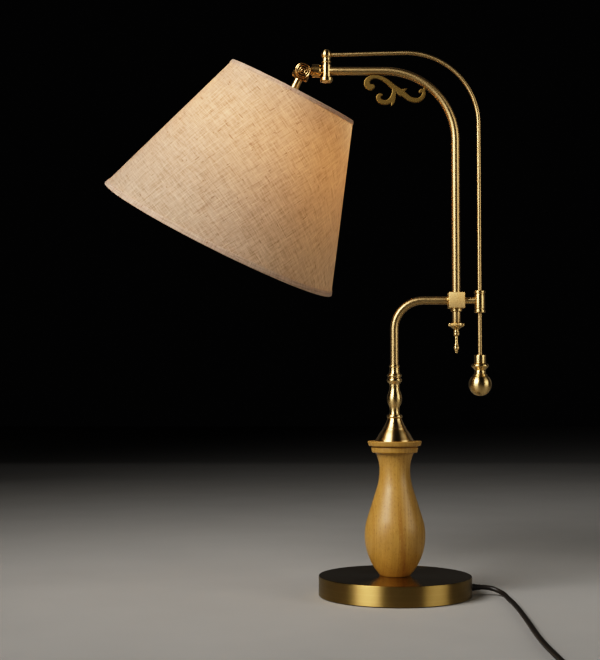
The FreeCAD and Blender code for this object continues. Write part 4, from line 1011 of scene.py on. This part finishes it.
# --------------------------------------------------------------------------
# Scroll
# --------------------------------------------------------------------------
SCROLL = {
    "long": [(-25.6, 605.2, 6.8), (-27.9, 604.4, 8.0), (-31.3, 607.2, 8.2),
             (-31.7, 611.5, 7.2), (-28.9, 615.3, 6.0), (-24.3, 617.2, 5.3),
             (-19.1, 617.2, 5.2), (-12.6, 614.8, 5.6), (-6.6, 610.8, 6.2),
             (-1.2, 606.0, 6.8), (3.8, 602.2, 7.4), (9.0, 598.6, 7.4),
             (14.2, 594.6, 6.8), (19.9, 590.5, 6.4), (27.1, 588.8, 6.2),
             (32.8, 590.8, 5.6), (36.0, 595.1, 4.8), (36.2, 599.1, 4.2),
             (33.9, 600.9, 4.2), (32.0, 599.3, 4.0)],
    "short": [(1.2, 602.7, 6.0), (0.45, 598.1, 5.6), (-0.6, 593.5, 6.2),
              (-3.0, 589.5, 6.6), (-7.1, 586.8, 6.4), (-12.3, 586.5, 6.2),
              (-16.7, 588.8, 6.2), (-18.2, 592.5, 6.0), (-16.5, 595.3, 4.6),
              (-14.7, 595.3, 3.6)],
    "leaf_low": [(0.2, 593.5, 5.0), (-0.4, 587.6, 4.4), (-1.7, 584.2, 2.6),
                 (-2.7, 582.2, 1.0)],
    "leaf_mid": [(4.5, 601.0, 5.0), (7.0, 597.0, 4.4), (8.4, 594.0, 1.2)],
    "leaf_up": [(7.6, 599.0, 5.0), (11.0, 600.6, 4.4), (14.0, 601.9, 2.6),
                (15.9, 602.8, 1.0)],
    "link_far": [(35.9, 598.0, 3.6), (36.9, 601.6, 3.4), (37.9, 604.0, 3.0)],
}


def smooth_row(points, parts):
    """The points on a Catmull-Rom line through the row."""
    row = []
    count = len(points)
    for i in range(count - 1):
        p0 = points[max(i - 1, 0)]
        p1, p2 = points[i], points[i + 1]
        p3 = points[min(i + 2, count - 1)]
        for k in range(parts):
            t = k / parts
            row.append(tuple(
                0.5 * (2 * b + (c - a) * t + (2 * a - 5 * b + 4 * c - d) * t * t
                       + (3 * b - a - 3 * c + d) * t ** 3)
                for a, b, c, d in zip(p0, p1, p2, p3)))
    row.append(points[-1])
    return row


def scroll():
    """Each strand is a flat bar with eased edges; all are joined into one
    casting by a fine remesh."""
    verts, faces = [], []
    half = 1.6
    # half the section, from the middle of one face round an edge
    section = [(0.0, 1.0), (0.62, 1.0), (0.85, 0.90), (0.96, 0.66),
               (1.0, 0.0), (0.96, -0.66), (0.85, -0.90), (0.62, -1.0),
               (0.0, -1.0)]
    section += [(-a, -b) for a, b in section[1:-1]]
    for strand in SCROLL.values():
        row = smooth_row(strand, 6)
        count = len(row)
        # rounded tips: a few shrinking sections past each end
        stations = []
        for i, (x, z, wide) in enumerate(row):
            a, b = row[max(i - 1, 0)], row[min(i + 1, count - 1)]
            dx, dz = b[0] - a[0], b[1] - a[1]
            long = math.hypot(dx, dz)
            stations.append((x, z, wide, dx / long, dz / long))
        head, tail = stations[0], stations[-1]
        before, after = [], []
        for k in range(1, 5):
            turn_ = math.pi / 2 * k / 4.3
            x, z, wide, dx, dz = head
            before.append((x - dx * wide / 2 * math.sin(turn_),
                           z - dz * wide / 2 * math.sin(turn_),
                           wide * math.cos(turn_), dx, dz))
            x, z, wide, dx, dz = tail
            after.append((x + dx * wide / 2 * math.sin(turn_),
                          z + dz * wide / 2 * math.sin(turn_),
                          wide * math.cos(turn_), dx, dz))
        stations = before[::-1] + stations + after
        rows = []
        for x, z, wide, dx, dz in stations:
            ring = []
            for across, deep in section:
                ring.append(len(verts))
                verts.append(((x - dz * across * wide / 2) * MM,
                              deep * half * MM,
                              (z + dx * across * wide / 2) * MM))
            rows.append(ring)
        size = len(section)
        for a, b in zip(rows, rows[1:]):
            for k in range(size):
                m = (k + 1) % size
                faces.append((a[k], a[m], b[m], b[k]))
        faces.append(tuple(rows[0]))
        faces.append(tuple(reversed(rows[-1])))
    obj = put_mesh("scroll_casting", verts, faces, M["cast"], sharp=0)
    melt = obj.modifiers.new("one_casting", "REMESH")
    melt.mode = "VOXEL"
    melt.voxel_size = 0.36 * MM
    ease = obj.modifiers.new("eased", "SMOOTH")
    ease.factor = 0.5
    ease.iterations = 4
    bpy.context.view_layer.update()
    done = bpy.data.meshes.new_from_object(
        obj.evaluated_get(bpy.context.evaluated_depsgraph_get()))
    obj.modifiers.clear()
    obj.data = done
    done.shade_smooth()
    if not done.materials:
        done.materials.append(M["cast"])
    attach(obj, "lift_arm")
    return obj


take(scroll(), "scroll_ornament")

# --------------------------------------------------------------------------
# Head
# --------------------------------------------------------------------------
CENTRE = Vector((-108.7, 0.0, 624.4)) * MM
ROLLED = turn("X", 10.53)
TILTED = ROLLED @ turn("Y", 26.77)
HANGING = TILTED @ turn("X", 180)


def head(rotation, along=(0.0, 0.0, 0.0)):
    base = CENTRE + rotation @ (Vector(along) * MM)
    return Matrix.Translation(base) @ rotation.to_4x4()


take(lathe("tilt_knob_turning", [
    (0, 1.5), (2.0, 1.5), (2.0, 16.5), (9.1, 16.5), (9.5, 16.9),
    (9.5, 21.6), (9.0, 22.2), (8.3, 22.5), (7.9, 22.2), (7.2, 22.2),
    (6.8, 22.6), (5.7, 22.6), (5.3, 22.2), (4.5, 22.2), (4.1, 22.7),
    (2.9, 22.9), (2.5, 22.5), (1.7, 22.5), (1.3, 22.8), (0, 22.9)],
    M["knob"], "tilt_knob",
    head(ROLLED @ turn("X", 90), (0.0, 0.0, -10.0)), soft=0.2),
    "tilt_knob")
take(lathe("head_stem_tube", [(3.4, 10.5), (5.0, 10.5), (5.0, 32.0),
                              (3.4, 32.0)],
           M["turned"], "lamp_head", head(HANGING)), "head_stem")
take(lathe("lamp_holder_moulded", [
    (5.0, 30.0), (7.0, 30.0), (7.0, 32.6), (9.5, 33.2, 10.0), (19.5, 41.5),
    (19.5, 61.0), (19.1, 62.0), (17.0, 62.0), (17.0, 80.0), (13.4, 80.0),
    (13.4, 58.0), (4.2, 58.0), (4.2, 32.0), (5.0, 32.0)],
    M["holder"], "lamp_head", head(HANGING), soft=0.5), "lamp_holder")
take(lathe("shade_nut_moulded", [
    (17.2, 63.6), (24.0, 63.6), (24.0, 67.2), (22.0, 70.0), (17.2, 70.0)],
    M["shade_nut"], "lamp_head", head(HANGING), soft=0.6), "shade_nut")
take(lathe("bulb_cap_drawn", [
    (0, 59.0), (4.5, 59.0), (9.0, 61.5), (12.4, 63.0), (13.2, 65.0),
    (13.2, 85.0), (0, 85.0)], M["cap"], "lamp_head", head(HANGING)),
    "bulb_cap")
take(lathe("bulb_glass_blown", [
    (12.0, 85.0), (13.2, 85.0, -46.0),
    (on_ball(30.0, 137.0, 118.4), 118.4, 30.0), (0, 167.0),
    (0, 166.0, -29.0), (on_ball(29.0, 137.0, 118.8), 118.8, 46.0)],
    M["bulb"], "lamp_head", head(HANGING), step=5.0), "bulb_glass")

# --------------------------------------------------------------------------
# Shade
# --------------------------------------------------------------------------
TOP_S, LOW_S = 25.8, 225.5
TOP_R, LOW_R = 81.7 - 0.6, 153.8 - 0.6
HALF = math.atan((LOW_R - TOP_R) / (LOW_S - TOP_S))
SIN, COS = math.sin(HALF), math.cos(HALF)
APEX = TOP_S - TOP_R * COS / SIN


def hung_at(x, y, s):
    """A point of the head's own frame, in the room."""
    return tuple(CENTRE + HANGING @ (Vector((x, y, s)) * MM))


def flat_place(slant, around_, turn_threads=27.4, front=0.0):
    """Where a point of the cone lies in the flat cloth, threads along X, Y.
    around_ is the angle about the stem, 0 at the front."""
    bend = (around_ - front) * SIN
    x, y = slant * math.sin(bend), -slant * math.cos(bend)
    c, s = math.cos(math.radians(turn_threads)), \
        math.sin(math.radians(turn_threads))
    return (x * c - y * s, x * s + y * c)


# In the head's own frame (+Z down the stem) the front of the shade, the side
# toward -Y of the room, is where this local direction points.
FRONT = HANGING.inverted() @ Vector((0.0, -1.0, 0.0))
FRONT_TURN = math.atan2(FRONT.y, FRONT.x)
# Turning to the right, seen from the front, goes this way about +Z.
RIGHT = HANGING.inverted() @ Vector((1.0, 0.0, 0.0))
WAY = 1.0 if math.atan2(FRONT.x * RIGHT.y - FRONT.y * RIGHT.x, 1.0) > 0 else -1.0


def cone_sheet(name, s_from, s_to, out, material, around=288, along=48,
               lap=6.0, wobble=0.0, roll=None):
    """One strip of cloth round the cone, its ends lapped at the back."""
    slant_from, slant_to = (s_from - APEX) / COS, (s_to - APEX) / COS
    verts, coords, faces = [], [], []
    total = 2 * math.pi
    extra = lap / LOW_R
    rows = []
    for i in range(along + 1):
        slant = slant_from + (slant_to - slant_from) * i / along
        row = []
        for k in range(around + 1):
            a = -math.pi - extra / 2 + (total + extra) * k / around
            lift = out
            # the lapped end lies on the other
            edge = (a - (math.pi - extra / 2)) / extra
            if edge > -1.0:
                lift += 0.35 * min(1.0, edge + 1.0)
            if wobble:
                lift += wobble * noise.noise(Vector((
                    math.cos(a) * 2.3, math.sin(a) * 2.3, slant * 0.012)))
            radius = slant * SIN + lift * COS
            s = APEX + slant * COS - lift * SIN
            b = FRONT_TURN + WAY * a
            row.append(len(verts))
            verts.append(hung_at(radius * math.cos(b), radius * math.sin(b),
                                 s))
            u, v = flat_place(slant, a)
            coords.append((u * MM, v * MM, 0.0))
        rows.append(row)
    for a, b in zip(rows, rows[1:]):
        for k in range(around):
            faces.append((a[k], a[k + 1], b[k + 1], b[k]))
    obj = put_mesh(name, verts, faces, material, None, None, sharp=0,
                   coords=coords)
    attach(obj, "lamp_head")
    return obj


cloth = cone_sheet("shade_linen", TOP_S, LOW_S, -0.3, M["linen"],
                   wobble=0.25)
take(cloth, "shade_cover", "shade_lining")


def hem(name, s_edge, inward, wide):
    """A strip folded over the cloth's edge: outside, round, and inside."""
    slant_edge = (s_edge - APEX) / COS
    section = []
    thick = 0.75
    for k in range(5):
        section.append((wide * (1 - k / 4.0), thick))
    for k in range(1, 6):
        bend = math.pi * k / 6
        section.append((-thick * 0.9 * math.sin(bend),
                        thick * math.cos(bend)))
    for k in range(5):
        section.append((wide * 0.8 * k / 4.0, -thick))
    around = 288
    verts, coords, faces, rows = [], [], [], []
    for j, (along, out) in enumerate(section):
        row = []
        slant = slant_edge + inward * along
        if j == 0:
            out *= 0.55
        for k in range(around):
            a = -math.pi + 2 * math.pi * k / around
            lift = out - 0.3 + 0.12 * noise.noise(Vector((
                math.cos(a) * 9.0, math.sin(a) * 9.0, s_edge)))
            radius = slant * SIN + lift * COS
            s = APEX + slant * COS - lift * SIN
            b = FRONT_TURN + WAY * a
            row.append(len(verts))
            verts.append(hung_at(radius * math.cos(b), radius * math.sin(b),
                                 s))
            # the strip is cut along the thread and runs round the edge
            coords.append((a * slant_edge * SIN * MM,
                           (along + (0.0 if out > 0 else 4.0)) * MM, 0.0))
        rows.append(row)
    for a, b in zip(rows, rows[1:]):
        for k in range(around):
            m = (k + 1) % around
            faces.append((a[k], a[m], b[m], b[k]))
    obj = put_mesh(name, verts, faces, M["hem"], None, None, sharp=0,
                   coords=coords)
    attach(obj, "lamp_head")
    return obj


hem_upper = hem("shade_hem_upper", TOP_S + 0.4, 1.0, 4.6)
hem_lower = hem("shade_hem_lower", LOW_S - 0.4, -1.0, 6.1)
take(hem_upper, "shade_hems")

# --------------------------------------------------------------------------
# CAD nodes that are kept
# --------------------------------------------------------------------------
for name, key in (
        ("base_weight", "iron"), ("bottom_plate", "plate"),
        ("felt_pad", "felt"), ("plate_screws", "steel"),
        ("base_nut", "steel"), ("base_washer", "steel"),
        ("threaded_rod", "steel"), ("cord_grommet", "relief"),
        ("cord_clamp", "nylon"), ("stem_wire", "wire"),
        ("switch_lower_shell", "case"), ("switch_upper_shell", "case"),
        ("switch_screws", "steel"), ("rocker_pin", "steel"),
        ("plug_body", "case"), ("plug_pins", "cap"),
        ("switch_rocker", "rocker"), ("swivel_washer", "turned"),
        ("swivel_pin", "steel"), ("snap_ring", "steel"),
        ("head_stub", "joint"), ("hinge_nut", "turned"),
        ("knuckle_body", "joint"), ("shade_bottom_ring", "white"),
        ("shade_carrier", "white")):
    finish_node(name, M[key])

# --------------------------------------------------------------------------
# Room: floor and lights
# --------------------------------------------------------------------------
def studio():
    t = Tree("studio_floor")
    place = t.object_coords()
    speck = t.noise(place, 6.0, 3.0, 0.5)
    t.shader(Base_Color=t.mix(t.remap(speck, 0.3, 0.7),
                              rgb(178, 176, 172), rgb(182, 180, 176)),
             Roughness=0.75, Specular_IOR_Level=0.25)
    wide = 7.0
    mesh = bpy.data.meshes.new("studio_floor")
    mesh.from_pydata([(-wide, -wide, 0.0), (wide, -wide, 0.0),
                      (wide, wide, 0.0), (-wide, wide, 0.0)], [],
                     [(0, 1, 2, 3)])
    mesh.materials.append(t.mat)
    obj = bpy.data.objects.new("studio_floor", mesh)
    bpy.context.scene.collection.objects.link(obj)


def softbox(name, azimuth, distance, height, wide, tall, power, colour,
            aim=(0.0, 0.0, 0.3), spread=180.0):
    """An area light; azimuth is from the camera's side toward +X."""
    a = math.radians(azimuth)
    light = bpy.data.lights.new(name, "AREA")
    light.shape = "RECTANGLE"
    light.size = wide
    light.size_y = tall
    light.spread = math.radians(spread)
    light.energy = power
    light.color = colour
    obj = bpy.data.objects.new(name, light)
    obj.location = (math.sin(a) * distance, -math.cos(a) * distance, height)
    toward = Vector(aim) - obj.location
    obj.rotation_euler = toward.to_track_quat("-Z", "Y").to_euler()
    obj.visible_camera = False
    bpy.context.scene.collection.objects.link(obj)
    return obj


studio()
softbox("key_left", -54, 1.9, 0.46, 1.45, 0.64, 0.90, (1.0, 0.98, 0.95),
        (0.0, 0.0, 0.12), 62.0)
softbox("key_upper", -50, 1.60, 1.40, 1.25, 0.8, 10.2, (1.0, 0.98, 0.96),
        (-0.12, 0.0, 0.60), 80.0)
softbox("side_right", 61, 1.9, 0.80, 1.40, 1.1, 3.1, (1.0, 0.96, 0.88),
        (0.0, 0.0, 0.36), 85.0)
softbox("top_rear", 165, 1.2, 2.4, 1.6, 1.0, 0.6, (1.0, 0.97, 0.94))
softbox("rear_right", 132, 1.9, 0.80, 1.2, 1.2, 0.7, (1.0, 0.97, 0.94))
softbox("rear_fill", 180, 2.6, 0.90, 3.0, 1.6, 0.6, (1.0, 0.97, 0.94))
softbox("rear_left", -142, 1.9, 0.80, 1.2, 1.2, 0.35, (1.0, 0.97, 0.94))

world = bpy.data.worlds.new("studio_air")
bpy.context.scene.world = world
world.use_nodes = True
world.node_tree.nodes["Background"].inputs[0].default_value = \
    (0.86, 0.86, 0.88, 1.0)
world.node_tree.nodes["Background"].inputs[1].default_value = 0.002

scene = bpy.context.scene
scene.view_settings.view_transform = "Standard"
scene.view_settings.look = "None"
scene.view_settings.exposure = 0.0
# the contrast of a product photograph: deep shadows, mid tones as they are,
# and highlights that roll off before they burn out
scene.view_settings.use_curve_mapping = True
curves = scene.view_settings.curve_mapping
curves.clip_max_x = 3.0
tone = curves.curves[3]
tone.points[1].location = (3.0, 1.0)
for place, value in ((0.03, 0.014), (0.09, 0.064), (0.22, 0.200),
                     (0.50, 0.51), (0.74, 0.72), (1.00, 0.86), (1.60, 0.96)):
    tone.points.new(place, value)
curves.update()

bpy.context.view_layer.update()
